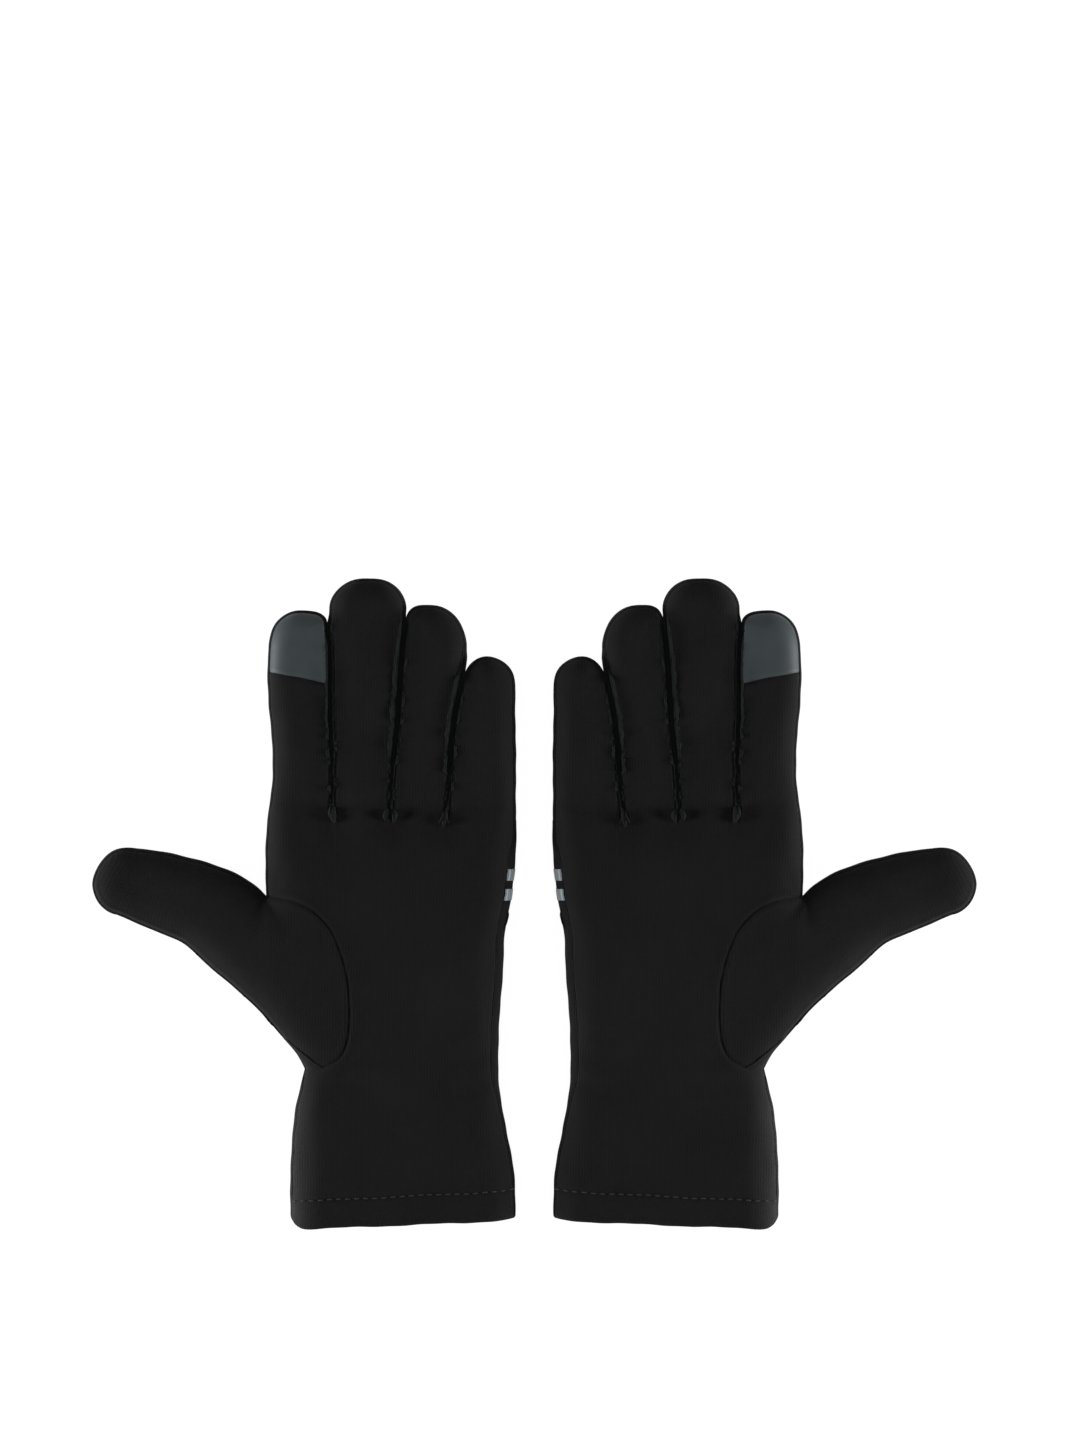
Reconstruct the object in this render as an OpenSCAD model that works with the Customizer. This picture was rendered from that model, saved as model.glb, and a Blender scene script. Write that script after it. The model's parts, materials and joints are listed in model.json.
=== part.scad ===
// A pair of touchscreen gloves, cut and sewn from stretch knit, lying palm up on their backs.
// Each glove is drawn once, as the right-hand one, in its own frame: x from the little-finger edge
// towards the thumb, y from the cuff edge towards the fingertips, z up from the table.
// The left glove is its mirror image. The row's origin lies on the table, midway between the two.

/* [Pair] */
// Free space between the two gloves' little-finger edges
pair_gap = 14; // [8:1:40]

/* [Hand] */
// Cuff edge to the fold where the fingers bend
hand_length = 157.5; // [148:0.5:175]
// Cuff edge to the narrowest point of the wrist
wrist_y = 59; // [50:1:66]
// Width of the flattened cuff at its edge
cuff_width = 85; // [76:1:94]
// Width of the flattened wrist
wrist_width = 73; // [66:1:80]
// How far the wrist is drawn in on the little-finger side
wrist_inset = 7; // [3:0.5:10]
// Cuff edge to the fork between thumb and index finger
thumb_fork_y = 126; // [118:1:134]
// Depth of the turned and stitched hem
hem_depth = 13; // [8:0.5:20]

/* [Fingers] */
// Little finger, bending fold to tip
little_length = 58; // [50:0.5:66]
// Ring finger, bending fold to tip
ring_length = 77.5; // [66:0.5:86]
// Middle finger, bending fold to tip
middle_length = 87.5; // [76:0.5:98]
// Index finger, bending fold to tip
index_length = 75.5; // [64:0.5:86]
// Width of the little finger at its root
little_root = 24.5; // [21:0.5:29]
// Width of the ring finger at its root
ring_root = 19.5; // [17:0.5:24]
// Width of the middle finger at its root
middle_root = 20.5; // [17:0.5:25]
// Width of the index finger at its root
index_root = 23.5; // [20:0.5:28]
// Width of the little fingertip
little_tip = 19.5; // [16:0.5:23.5]
// Width of the ring fingertip
ring_tip = 21.5; // [18:0.5:26]
// Width of the middle fingertip
middle_tip = 27; // [20:0.5:33]
// Width of the index fingertip
index_tip = 22; // [18:0.5:26.5]
// Free space between neighbouring fingers at their roots
finger_gap = 1.5; // [1.5:0.1:3]
// Free space between neighbouring fingertips
tip_gap = 1.6; // [1.5:0.1:3]
// How far the ring fingertip leans over the little one
ring_lean = 2; // [0:0.5:2.5]
// Height of the side strips that are sewn in between the fingers
fourchette_height = 6; // [3:0.5:7]
// Length of the conductive panel at the index fingertip
touch_length = 26; // [16:1:34]

/* [Thumb] */
// Fold at the thumb's root to the start of its round tip, measured square to the little-finger edge
thumb_reach = 52; // [44:1:60]
// Width of the thumb tip
thumb_tip = 26; // [22:1:30]
// Angle of the thumb's outer half above square to the hand
thumb_angle = 20; // [10:1:30]
// How far the sewn-in thumb piece reaches into the palm from the thumb fork
gusset_reach = 31; // [24:1:36]

/* [Loft] */
// Thickness at the open cuff
cuff_thickness = 16; // [12:0.5:20]
// Thickness at the wrist
wrist_thickness = 16; // [12:0.5:20]
// Thickness at the middle of the palm
palm_thickness = 20; // [16:0.5:26]
// Thickness of the fingers
finger_thickness = 15; // [12:0.5:18]
// Thickness of the thumb tip
thumb_thickness = 15; // [12:0.5:18]
// Distance over which the surface rounds over to its seam
edge_radius = 12; // [8:0.5:14]

/* [Fabric] */
// Thickness of the brushed-back knit
fabric = 1.2; // [0.8:0.1:1.6]
// Thickness of the reflective film
film = 0.4; // [0.3:0.1:0.6]
// Width of each reflective bar
bar_width = 4.2; // [3:0.2:6]
// Space between the two reflective bars
bar_space = 3.4; // [2:0.2:5]
// Length of the bars across the back of the hand
bar_length = 40; // [24:1:60]
// Cuff edge to the lower side of the lower bar
bar_y = 123.5; // [112:0.5:130]

/* [Hidden] */
SIDES = ["left", "right"];
PIECES = [
    "palm_panel", "back_panel", "thumb_gusset", "cuff_hem", "reflective_bars", "crotch_gussets",
    "thumb_front", "thumb_back",
    "index_front", "index_touch_tip", "index_back", "index_fourchette",
    "middle_front", "middle_back", "middle_fourchettes",
    "ring_front", "ring_back", "ring_fourchettes",
    "little_front", "little_back", "little_fourchette",
];

// Fingers in order from the little-finger edge
LITTLE = 0;
RING = 1;
MIDDLE = 2;
INDEX = 3;
finger_lengths = [little_length, ring_length, middle_length, index_length];
finger_roots = [little_root, ring_root, middle_root, index_root];
finger_tips = [little_tip, ring_tip, middle_tip, index_tip];
// Free space between each fingertip and the next one towards the thumb
tip_gaps = [tip_gap - ring_lean, tip_gap, tip_gap];
// Which edges of each finger hold a side strip: the one on the little side, the one on the thumb side
finger_strips = [[0, 1], [1, 1], [1, 1], [1, 0]];

glove_length = hand_length + middle_length;
fold_gap = 0.3;       // clear space at each bending fold
relief_angle = 22;    // the far side of a fold is cut back this much, for bending backwards
relief_fade = 30;     // the cut-back dies away over this length
seam_share = 0.42;    // height of the side seam as a share of the thickness
rim = fabric * 0.4;   // half of the blunt edge where two panels are sewn together
loft_power = 2.2;     // roundness of the cross-section: 2 is an ellipse
blunt_end = 0.26;     // width of the last cross-section of a tip, as a share of the full width
strip_full = 0.6;     // a side strip keeps its height over this share of the finger's straight run
strip_end = 0.06;     // and ends this high, as a share of its full height
columns = 10;         // facets across a palm or thumb panel
finger_columns = 8;   // facets across a finger panel
root_steps = 5;       // rows of facets along a finger below its tip panel
tip_angles = [25, 48, 68];  // where a round tip's cross-sections lie, from its start at 0 to 90
beyond = 20;          // cutting shapes reach this far past the cloth
touching = 0.001;     // lengths that differ by less than this are the same

wrist_x = wrist_inset + wrist_width;
knuckle_y = hand_length - fold_gap / 2;
palm_width = root_edge(INDEX) + index_root;
inset_run = 86;                           // above the wrist, the little-finger edge swings out over this
inset_end_y = wrist_y + inset_run;
fork_step = 1;                            // the thumb-side edge steps in over this length at the fork
palm_middle_y = (wrist_y + hand_length) / 2;
gusset_shift = [1, 1];                    // the thumb piece's curved edge lies this far off centre
gusset_roundness = 0.8;                   // 1 is an ellipse, less is a fuller curve

// The thumb's bending fold runs from its low end near the wrist to its high end at the fork
low_from_wrist = [9, 13];
high_from_fork = [6, -1];
centre_from_high = [-4, 5.5];  // centre of the round tip, besides the reach
// Where each edge of the thumb bows: a share of the way to its end, and the rise from there
high_bow = [0.4, -1.5];
low_bow = [0.46, -11];
thumb_low = [wrist_x, wrist_y] + low_from_wrist;
thumb_high = [palm_width, thumb_fork_y] + high_from_fork;
thumb_radius = thumb_tip / 2;
thumb_along = [cos(thumb_angle), sin(thumb_angle)];
thumb_across = [sin(thumb_angle), -cos(thumb_angle)];
thumb_centre = thumb_high + [thumb_reach, 0] + centre_from_high;
thumb_fold = (thumb_low - thumb_high) / norm(thumb_low - thumb_high);
thumb_out = [-thumb_fold[1], thumb_fold[0]];
thumb_root_thickness = thickness(thumb_fork_y);

function mix(a, b, t) = a + (b - a) * t;
function clamp(t) = max(0, min(1, t));
function ease(t) = (1 - cos(180 * clamp(t))) / 2;
function spread(n) = [for (j = [0:n]) -cos(180 * j / n)];
function bezier(a, b, c, t) = mix(mix(a, b, t), mix(b, c, t), t);

function segment_distance(p, a, b) =
    let (t = clamp(((p - a) * (b - a)) / ((b - a) * (b - a)))) norm(p - mix(a, b, t));
function line_distance(p, line) =
    min([for (k = [1:len(line) - 1]) segment_distance(p, line[k - 1], line[k])]);

// Rise from the seam to the full loft at distance d from an edge that rounds over within r
function arch(d, r) = pow(1 - pow(1 - clamp(d / r), loft_power), 1 / loft_power);
// Height above the seam at distance d from the side and e from the end, on the layer `inset` deep
function loft(d, e, amount, r, inset) =
    inset == 0
        ? rim + (amount - rim) * arch(d, r) * arch(e, r)
        : (amount - inset) * arch(d - inset, r - inset) * arch(e - inset, r - inset);

// ---- Palm and cuff -------------------------------------------------------------------------

function thickness(y) = lookup(y, [
    [0, cuff_thickness], [wrist_y, wrist_thickness],
    [palm_middle_y, palm_thickness], [knuckle_y, finger_thickness]]);
function little_edge(y) = wrist_inset * (y < wrist_y
    ? ease(y / wrist_y)
    : 1 - ease((y - wrist_y) / (inset_end_y - wrist_y)));
function thumb_edge(y) = y < wrist_y
    ? mix(cuff_width, wrist_x, ease(y / wrist_y))
    : lookup(y, [[wrist_y, wrist_x], thumb_corner(thumb_low), thumb_corner(thumb_high),
                 [thumb_fork_y + fork_step, palm_width], [hand_length, palm_width]]);
function thumb_corner(p) = [p[1], p[0]];

cuff_rows = [for (k = [0:3]) mix(hem_depth, wrist_y, k / 3)];
thumb_rows = [for (k = [0:5]) mix(thumb_low[1], thumb_high[1], k / 5)];
top_rows = [for (k = [0:3]) mix(thumb_fork_y + fork_step, knuckle_y, k / 3)];
hem_rows = [0, hem_depth / 2, hem_depth];
palm_rows = concat(cuff_rows, [palm_middle_y], thumb_rows, top_rows);

function sorted(list) = len(list) < 2 ? list :
    let (pivot = list[0])
    concat(sorted([for (v = list) if (v < pivot) v]), [pivot], sorted([for (v = list) if (v > pivot) v]));

// The sewn edges on the thumb side, below and above the opening into the thumb
low_edge = [for (y = concat(hem_rows, cuff_rows)) [thumb_edge(y), y]];
wrist_line = concat(low_edge, [thumb_low]);
index_line = [thumb_high, [palm_width, thumb_fork_y + 1], [palm_width, hand_length]];

function palm_depth(x, y) =
    min(x - little_edge(y), line_distance([x, y], wrist_line), line_distance([x, y], index_line));
function palm_point(q, y, inset, front) =
    let (x = mix(little_edge(y), thumb_edge(y), (1 + q) / 2),
         seam = thickness(y) * seam_share,
         amount = front ? thickness(y) - seam : seam,
         rise = loft(palm_depth(x, y), edge_radius + inset, amount, edge_radius, inset))
    [x, y, front ? seam + rise : seam - rise];
function palm_layer(rows, inset, front) =
    [for (y = rows) [for (q = spread(columns)) palm_point(q, y, inset, front)]];

// ---- Fingers -------------------------------------------------------------------------------

function root_edge(i) = i == 0 ? 0 : root_edge(i - 1) + finger_roots[i - 1] + finger_gap;
function tip_edge(i) = i == 0 ? 0 : tip_edge(i - 1) + finger_tips[i - 1] + tip_gaps[i - 1];
function tip_radius(i) = finger_tips[i] / 2;
function straight_run(i) = finger_lengths[i] - tip_radius(i);
function cap(s, run, r) = s <= run ? 1 : max(blunt_end, sqrt(max(0, 1 - pow((s - run) / r, 2))));
function half_width(i, s) =
    mix(finger_roots[i], finger_tips[i], clamp(s / straight_run(i))) / 2
        * cap(s, straight_run(i), tip_radius(i));
function middle_x(i, s) =
    mix(root_edge(i) + finger_roots[i] / 2, tip_edge(i) + tip_radius(i), clamp(s / straight_run(i)));
function strip_lift(i, q, s) =
    let (run = straight_run(i),
         share = s > run ? 0 : mix(1, strip_end, clamp((s / run - strip_full) / (1 - strip_full))))
    fourchette_height / 2 * share * mix(finger_strips[i][0], finger_strips[i][1], (1 + q) / 2);
function slant(s) = tan(relief_angle) * clamp(1 - s / relief_fade);

function finger_place(i, x, s, z) =
    [x, hand_length + fold_gap / 2 + s * (finger_lengths[i] - fold_gap / 2) / finger_lengths[i]
        + slant(s) * (finger_thickness - z), z];
function finger_point(i, q, s, inset, front) =
    let (h = half_width(i, s),
         r = min(edge_radius, finger_roots[i] / 2, tip_radius(i)),
         lift = strip_lift(i, q, s),
         seam = finger_thickness * seam_share,
         amount = (front ? finger_thickness - seam : seam) - lift,
         rise = lift + loft(h * (1 - abs(q)), finger_lengths[i] - s, amount, r, inset))
    finger_place(i, middle_x(i, s) + q * h, s, front ? seam + rise : seam - rise);
function finger_layer(i, rows, inset, front) =
    [for (s = rows) [for (q = spread(finger_columns)) finger_point(i, q, s, inset, front)]];

function root_rows(i) = [for (k = [0:root_steps]) mix(0, finger_lengths[i] - touch_length, k / root_steps)];
function tip_rows(i) = concat(
    [for (k = [1:2]) mix(finger_lengths[i] - touch_length, straight_run(i), k / 2)],
    [for (a = tip_angles) straight_run(i) + tip_radius(i) * sin(a)], [finger_lengths[i]]);
function last_root_row(i) = [finger_lengths[i] - touch_length];
function finger_rows(i) = concat(root_rows(i), tip_rows(i));
function strip_rows(i) = [for (s = finger_rows(i)) if (s <= straight_run(i) + touching) s];

// One face of a side strip: `side` is -1 on the little side and 1 on the thumb side
function strip_face(i, side, inward) = [for (s = strip_rows(i))
    let (h = half_width(i, s),
         q = side * (1 - inward / h),
         lift = strip_lift(i, q, s),
         seam = finger_thickness * seam_share)
    [for (z = [seam - lift, seam, seam + lift]) finger_place(i, middle_x(i, s) + q * h, s, z)]];

// ---- Thumb ---------------------------------------------------------------------------------

thumb_run = norm(thumb_centre - (thumb_low + thumb_high) / 2);
thumb_straight = [for (k = [0:6]) k / 6];
thumb_caps = concat(tip_angles, [90]);
thumb_high_end = thumb_centre - thumb_radius * thumb_across;
thumb_low_end = thumb_centre + thumb_radius * thumb_across;
thumb_high_bow = [mix(thumb_high[0], thumb_high_end[0], high_bow[0]), thumb_high_end[1] + high_bow[1]];
thumb_low_bow = [mix(thumb_low[0], thumb_low_end[0], low_bow[0]), thumb_low_end[1] + low_bow[1]];

function thumb_chord(t, a) = a == 0
    ? [bezier(thumb_high, thumb_high_bow, thumb_high_end, t), bezier(thumb_low, thumb_low_bow, thumb_low_end, t)]
    : let (middle = thumb_centre + thumb_radius * sin(a) * thumb_along,
           half = thumb_radius * max(blunt_end, cos(a)))
      [middle - half * thumb_across, middle + half * thumb_across];
thumb_stations = concat([for (t = thumb_straight) [t, 0]], [for (a = thumb_caps) [1, a]]);
function thumb_point(q, station, inset, front) =
    let (t = station[0],
         a = station[1],
         chord = thumb_chord(t, a),
         plan = mix(chord[0], chord[1], (1 + q) / 2),
         full = mix(thumb_root_thickness, thumb_thickness, t),
         seam = full * seam_share,
         end = thumb_radius * (1 - sin(a)) + thumb_run * (1 - t),
         r = min(edge_radius, thumb_radius),
         side = norm(chord[1] - chord[0]) / 2 * (1 - abs(q)),
         rise = loft(side, end, front ? full - seam : seam, r, inset),
         z = front ? seam + rise : seam - rise,
         out = fold_gap + slant(t * thumb_run) * (thumb_root_thickness - z))
    [plan[0] + thumb_out[0] * out, plan[1] + thumb_out[1] * out, z];
function thumb_layer(inset, front) =
    [for (s = thumb_stations) [for (q = spread(columns)) thumb_point(q, s, inset, front)]];

// ---- Solids --------------------------------------------------------------------------------

// Closed solid between two grids of the same size; `upper` is on the side that columns x rows points to
module skin(upper, lower) {
    rows = len(upper) - 1;
    cols = len(upper[0]) - 1;
    count = (rows + 1) * (cols + 1);
    up = [for (i = [0:rows]) [for (j = [0:cols]) i * (cols + 1) + j]];
    low = [for (row = up) [for (k = row) k + count]];
    quads = concat(
        [for (i = [1:rows]) for (j = [1:cols]) [up[i - 1][j - 1], up[i][j - 1], up[i][j], up[i - 1][j]]],
        [for (i = [1:rows]) for (j = [1:cols]) [low[i][j - 1], low[i - 1][j - 1], low[i - 1][j], low[i][j]]],
        [for (j = [1:cols]) [up[0][j - 1], up[0][j], low[0][j], low[0][j - 1]]],
        [for (j = [1:cols]) [up[rows][j], up[rows][j - 1], low[rows][j - 1], low[rows][j]]],
        [for (i = [1:rows]) [up[i][0], up[i - 1][0], low[i - 1][0], low[i][0]]],
        [for (i = [1:rows]) [up[i - 1][cols], up[i][cols], low[i][cols], low[i - 1][cols]]]);
    polyhedron(
        points = concat([for (row = upper) each row], [for (row = lower) each row]),
        faces = [for (f = quads) each [[f[0], f[1], f[2]], [f[0], f[2], f[3]]]]);
}

module front_skin() {
    skin(palm_layer(sorted(palm_rows), 0, true), palm_layer(sorted(palm_rows), fabric, true));
}

module back_skin() {
    skin(palm_layer(sorted(palm_rows), fabric, false), palm_layer(sorted(palm_rows), 0, false));
}

// Outline, in plan, of the opening that the thumb piece is sewn into
module gusset_outline() {
    middle_y = (wrist_y + thumb_fork_y) / 2 + gusset_shift[1];
    half_height = (thumb_fork_y - wrist_y) / 2;
    right = palm_width + beyond;
    polygon(concat(
        [[right, middle_y - half_height]],
        [for (a = [-90:7.5:90])
            [palm_width + gusset_shift[0] - gusset_reach * pow(cos(a), gusset_roundness),
             middle_y + half_height * sin(a)]],
        [[right, middle_y + half_height]]));
}

module gusset_prism() {
    linear_extrude(palm_thickness + beyond) gusset_outline();
}

module bar_slabs() {
    for (k = [0, 1])
        translate([-beyond, bar_y + k * (bar_width + bar_space), -beyond])
            cube([bar_length + beyond, bar_width, palm_thickness + beyond]);
}

module bar_films() {
    difference() {
        intersection() {
            back_skin();
            bar_slabs();
        }
        translate([0, 0, film]) back_skin();
    }
}

// ---- Pieces --------------------------------------------------------------------------------

module palm_panel() {
    color("#1c1c1c") difference() {
        front_skin();
        gusset_prism();
    }
}

module back_panel() {
    color("#1c1c1c") difference() {
        back_skin();
        bar_films();
    }
}

module thumb_gusset() {
    color("#1c1c1c") intersection() {
        front_skin();
        gusset_prism();
    }
}

// The cuff edge is turned inside and stitched, so it is two layers thick
module cuff_hem() {
    color("#1a1a1a") {
        skin(palm_layer(hem_rows, 0, true), palm_layer(hem_rows, 2 * fabric, true));
        skin(palm_layer(hem_rows, 2 * fabric, false), palm_layer(hem_rows, 0, false));
    }
}

module reflective_bars() {
    color("#8d98a2") bar_films();
}

// The bottoms of the three U-shaped side strips, where two fingers part
module crotch_gussets() {
    function wall(x0, x1, inset, front) = [for (y = [knuckle_y - fabric, knuckle_y])
        [for (x = [x0, x1])
            let (z = thickness(y) - inset)
            [x, y, front ? z : inset]]];
    color("#161616")
        for (i = [RING, MIDDLE, INDEX])
            let (x0 = root_edge(i) - finger_gap - fabric, x1 = root_edge(i) + fabric)
                skin(wall(x0, x1, fabric, true), wall(x0, x1, fabric, false));
}

module thumb_front() {
    color("#1c1c1c") skin(thumb_layer(0, true), thumb_layer(fabric, true));
}

module thumb_back() {
    color("#1c1c1c") skin(thumb_layer(fabric, false), thumb_layer(0, false));
}

module finger_front(i, rows) {
    skin(finger_layer(i, rows, 0, true), finger_layer(i, rows, fabric, true));
}

module finger_back(i) {
    color("#1c1c1c")
        skin(finger_layer(i, finger_rows(i), fabric, false), finger_layer(i, finger_rows(i), 0, false));
}

module fourchettes(i) {
    color("#161616") {
        if (finger_strips[i][0] == 1)
            skin(strip_face(i, -1, 0), strip_face(i, -1, fabric));
        if (finger_strips[i][1] == 1)
            skin(strip_face(i, 1, fabric), strip_face(i, 1, 0));
    }
}

module index_front() {
    color("#1c1c1c") finger_front(INDEX, root_rows(INDEX));
}

// The fingertip panel of conductive cloth that works a touchscreen
module index_touch_tip() {
    color("#3a3f41") finger_front(INDEX, concat(last_root_row(INDEX), tip_rows(INDEX)));
}

module plain_front(i) {
    color("#1c1c1c") finger_front(i, finger_rows(i));
}

module placed(side) {
    mirror([side == "left" ? 1 : 0, 0, 0])
        translate([pair_gap / 2, -glove_length / 2, 0])
            children();
}

module glove(side) {
    placed(side) palm_panel();
    placed(side) back_panel();
    placed(side) thumb_gusset();
    placed(side) cuff_hem();
    placed(side) reflective_bars();
    placed(side) crotch_gussets();
    placed(side) thumb_front();
    placed(side) thumb_back();
    placed(side) index_front();
    placed(side) index_touch_tip();
    placed(side) finger_back(INDEX);
    placed(side) fourchettes(INDEX);
    placed(side) plain_front(MIDDLE);
    placed(side) finger_back(MIDDLE);
    placed(side) fourchettes(MIDDLE);
    placed(side) plain_front(RING);
    placed(side) finger_back(RING);
    placed(side) fourchettes(RING);
    placed(side) plain_front(LITTLE);
    placed(side) finger_back(LITTLE);
    placed(side) fourchettes(LITTLE);
}

glove("left");
glove("right");
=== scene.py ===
# %% [markdown]
# # A pair of sewn knit gloves
# The gloves lie palm up on a table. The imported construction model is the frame: it says where each
# glove, finger and fold is. Every visible piece of cloth is drawn again here as a thin curved sheet,
# because sewn knit shows its shape through soft edges, sunken seams and small wrinkles.

# %% The frame
import math
import json

import bmesh
import bpy
import numpy as np
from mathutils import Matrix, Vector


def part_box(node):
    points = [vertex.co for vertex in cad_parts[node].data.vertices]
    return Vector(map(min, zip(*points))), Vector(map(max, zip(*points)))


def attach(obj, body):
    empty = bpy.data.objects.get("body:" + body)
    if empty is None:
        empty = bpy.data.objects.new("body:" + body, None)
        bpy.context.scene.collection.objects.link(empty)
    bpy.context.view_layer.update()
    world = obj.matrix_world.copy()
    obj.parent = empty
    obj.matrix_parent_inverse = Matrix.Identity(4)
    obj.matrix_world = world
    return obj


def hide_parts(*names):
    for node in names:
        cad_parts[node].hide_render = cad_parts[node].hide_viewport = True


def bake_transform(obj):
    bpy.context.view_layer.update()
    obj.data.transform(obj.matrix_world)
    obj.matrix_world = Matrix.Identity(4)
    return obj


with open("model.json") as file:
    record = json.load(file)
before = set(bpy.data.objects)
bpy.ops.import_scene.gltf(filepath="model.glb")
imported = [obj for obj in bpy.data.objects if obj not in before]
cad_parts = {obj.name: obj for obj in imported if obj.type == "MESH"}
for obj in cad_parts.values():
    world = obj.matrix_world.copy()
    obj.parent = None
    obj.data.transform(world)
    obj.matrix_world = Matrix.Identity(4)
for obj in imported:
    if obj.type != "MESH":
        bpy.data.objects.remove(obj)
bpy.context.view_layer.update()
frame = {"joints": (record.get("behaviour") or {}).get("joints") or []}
MM = 0.001
FINGERS = ("little", "ring", "middle", "index")

# %% [markdown]
# ## One glove's own coordinates
# Both gloves are the same pattern, one of them turned over, so one glove is drawn once and mirrored.
# Its coordinates are in millimetres: x runs from the little-finger edge to the thumb, y from the cuff
# edge to the fingertips, z up from the table. The frame gives the origin and the fingertips' places.

# %% Places from the frame
ORIGIN = np.array([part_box("right_back_panel")[0].x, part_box("right_cuff_hem")[0].y, 0.0]) / MM
FOLD_Y = frame["joints"][1]["pos_m"][1] / MM - ORIGIN[1]
TIP_Y = {name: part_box(f"right_{name}_back")[1].y / MM - ORIGIN[1] for name in FINGERS}
THUMB_TIP_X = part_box("right_thumb_back")[1].x / MM - ORIGIN[0]
FABRIC = 1.1      # thickness of the brushed knit
SEAM_INSET = 1.0  # the sewn edge of a front panel lies this far inside the outline
print("fold at", round(FOLD_Y, 1), "fingertips at", {k: round(v, 1) for k, v in TIP_Y.items()})

# %% [markdown]
# ## Smooth curves through a few points
# An edge of the pattern needs only the points where it changes direction. A cubic through them gives
# the rest. A Bezier curve object could do the same, but a function can be asked for any row of a grid.

# %% Curve helpers
def through(knots, values):
    """Smooth function of t through the given values: a cubic between neighbours, whose slope at each
    knot is the weighted mean of the slopes on its two sides."""
    knots, values = np.asarray(knots, float), np.asarray(values, float)
    slopes = np.gradient(values, knots, axis=0)

    def at(t):
        t = np.clip(np.asarray(t, float), knots[0], knots[-1])
        k = np.clip(np.searchsorted(knots, t, side="right") - 1, 0, len(knots) - 2)
        width = knots[k + 1] - knots[k]
        s = (t - knots[k]) / width
        if values.ndim > 1:
            s, width = s[..., None], width[..., None]
        h = 3 * s**2 - 2 * s**3
        rise = s * (1 - s) ** 2 * slopes[k] - s**2 * (1 - s) * slopes[k + 1]
        return values[k] * (1 - h) + values[k + 1] * h + rise * width

    return at


def path(*points):
    """Smooth curve through points, as a function of the share 0 to 1 of its length."""
    points = np.array(points, float)
    run = np.concatenate([[0], np.cumsum(np.linalg.norm(np.diff(points, axis=0), axis=1))])
    return through(run / run[-1], points)


def smooth(a, b, t):
    """Goes from 0 to 1 as t goes from a to b, level at both ends."""
    s = np.clip((t - a) / (b - a), 0, 1)
    return s * s * (3 - 2 * s)


print("halfway along a curve through three points", path((0, 0), (1, 1), (2, 0))(0.5).tolist())

# %% [markdown]
# ## The outline of the pattern
# The hand's two edges, the sewn-in thumb's seam and each finger's two edges are separate curves. They
# share their end points: the three forks between the fingers and the fork of the thumb. A finger ends
# in a flattened half circle, a little askew as its cloth was cut.

# %% Hand edges
ROOT_LITTLE, ROOT_INDEX = np.array([-0.3, 153.6]), np.array([93.4, 157.3])
THUMB_FORK, WRIST_CORNER, THUMB_HEEL = (94.0, 125.5), (79.8, 60.0), (88.2, 72.3)


def on_root(x):
    """The point on the straight line across the fingers' roots at x."""
    across = ROOT_INDEX - ROOT_LITTLE
    return ROOT_LITTLE + across * (x - ROOT_LITTLE[0]) / across[0]


FORKS = [on_root(x) for x in (26.6, 47.1, 68.6)]
little_side = through([-25, 8, 20, 37, 56, 72, 97, 112, 122, 134, 152, 170],
                      [0.2, 0.0, 0.7, 3.4, 6.6, 6.3, 4.9, 3.9, 2.0, 0.7, -0.4, 0.0])
cuff_side = path((84.6, -25), (85.0, 4), (85.3, 14), (84.4, 31), (82.8, 47), (80.7, 56), WRIST_CORNER)
thumb_seam = path(WRIST_CORNER, (76.2, 60.3), (72.0, 61.3), (66.3, 64.6), (63.4, 71), (62.2, 82),
                  (63.0, 93.5), (65.6, 103.5), (69.6, 113), (75.5, 119.6), (84.0, 123.8), THUMB_FORK)
index_side = path(THUMB_FORK, (94.2, 135), (94.1, 146), ROOT_INDEX)
heel_edge = path(WRIST_CORNER, (82.4, 65.4), THUMB_HEEL)
heel_seam = path((72.2, 61.0), (74.6, 62.2), (80.0, 66.3), (86.4, 71.8))  # below the thumb's fold


def hem_line(x):
    """Where the hem is stitched down: a straight line with a slight slope."""
    return 14.8 - 0.048 * x


def cuff_edge(x):
    """The cuff's lower edge: a slight slope, and a rounded corner at the thumb side."""
    corner = np.clip((x - 79.6) / 5.9, 0, 0.97)
    return 0.3 + 3.3 * np.clip(1 - x / 78, 0, 1) + 5.5 * (1 - np.sqrt(1 - corner**2))


print("forks", [tuple(float(round(v, 1)) for v in fork) for fork in FORKS])


# %% [markdown]
# ## Digits
# Each finger, and the thumb, is a tube seen from above: two edge curves and a round end. Rows run
# across it from its root to its tip, and columns lie closer together near the edges, where the cloth
# turns over. `inset` draws the same shape smaller, which is where the sewn edge of its front lies.

# %% Digit class
SLIT = 0.2        # half of the free space between two fingers
DIGIT_ROWS = 70   # rows of a finger or thumb between its root and its round end


def row_share(rows):
    """Places of the rows from 0 to 1, a little closer together near the root, where the cloth bends."""
    return np.linspace(0, 1, rows) ** 1.15


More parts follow.
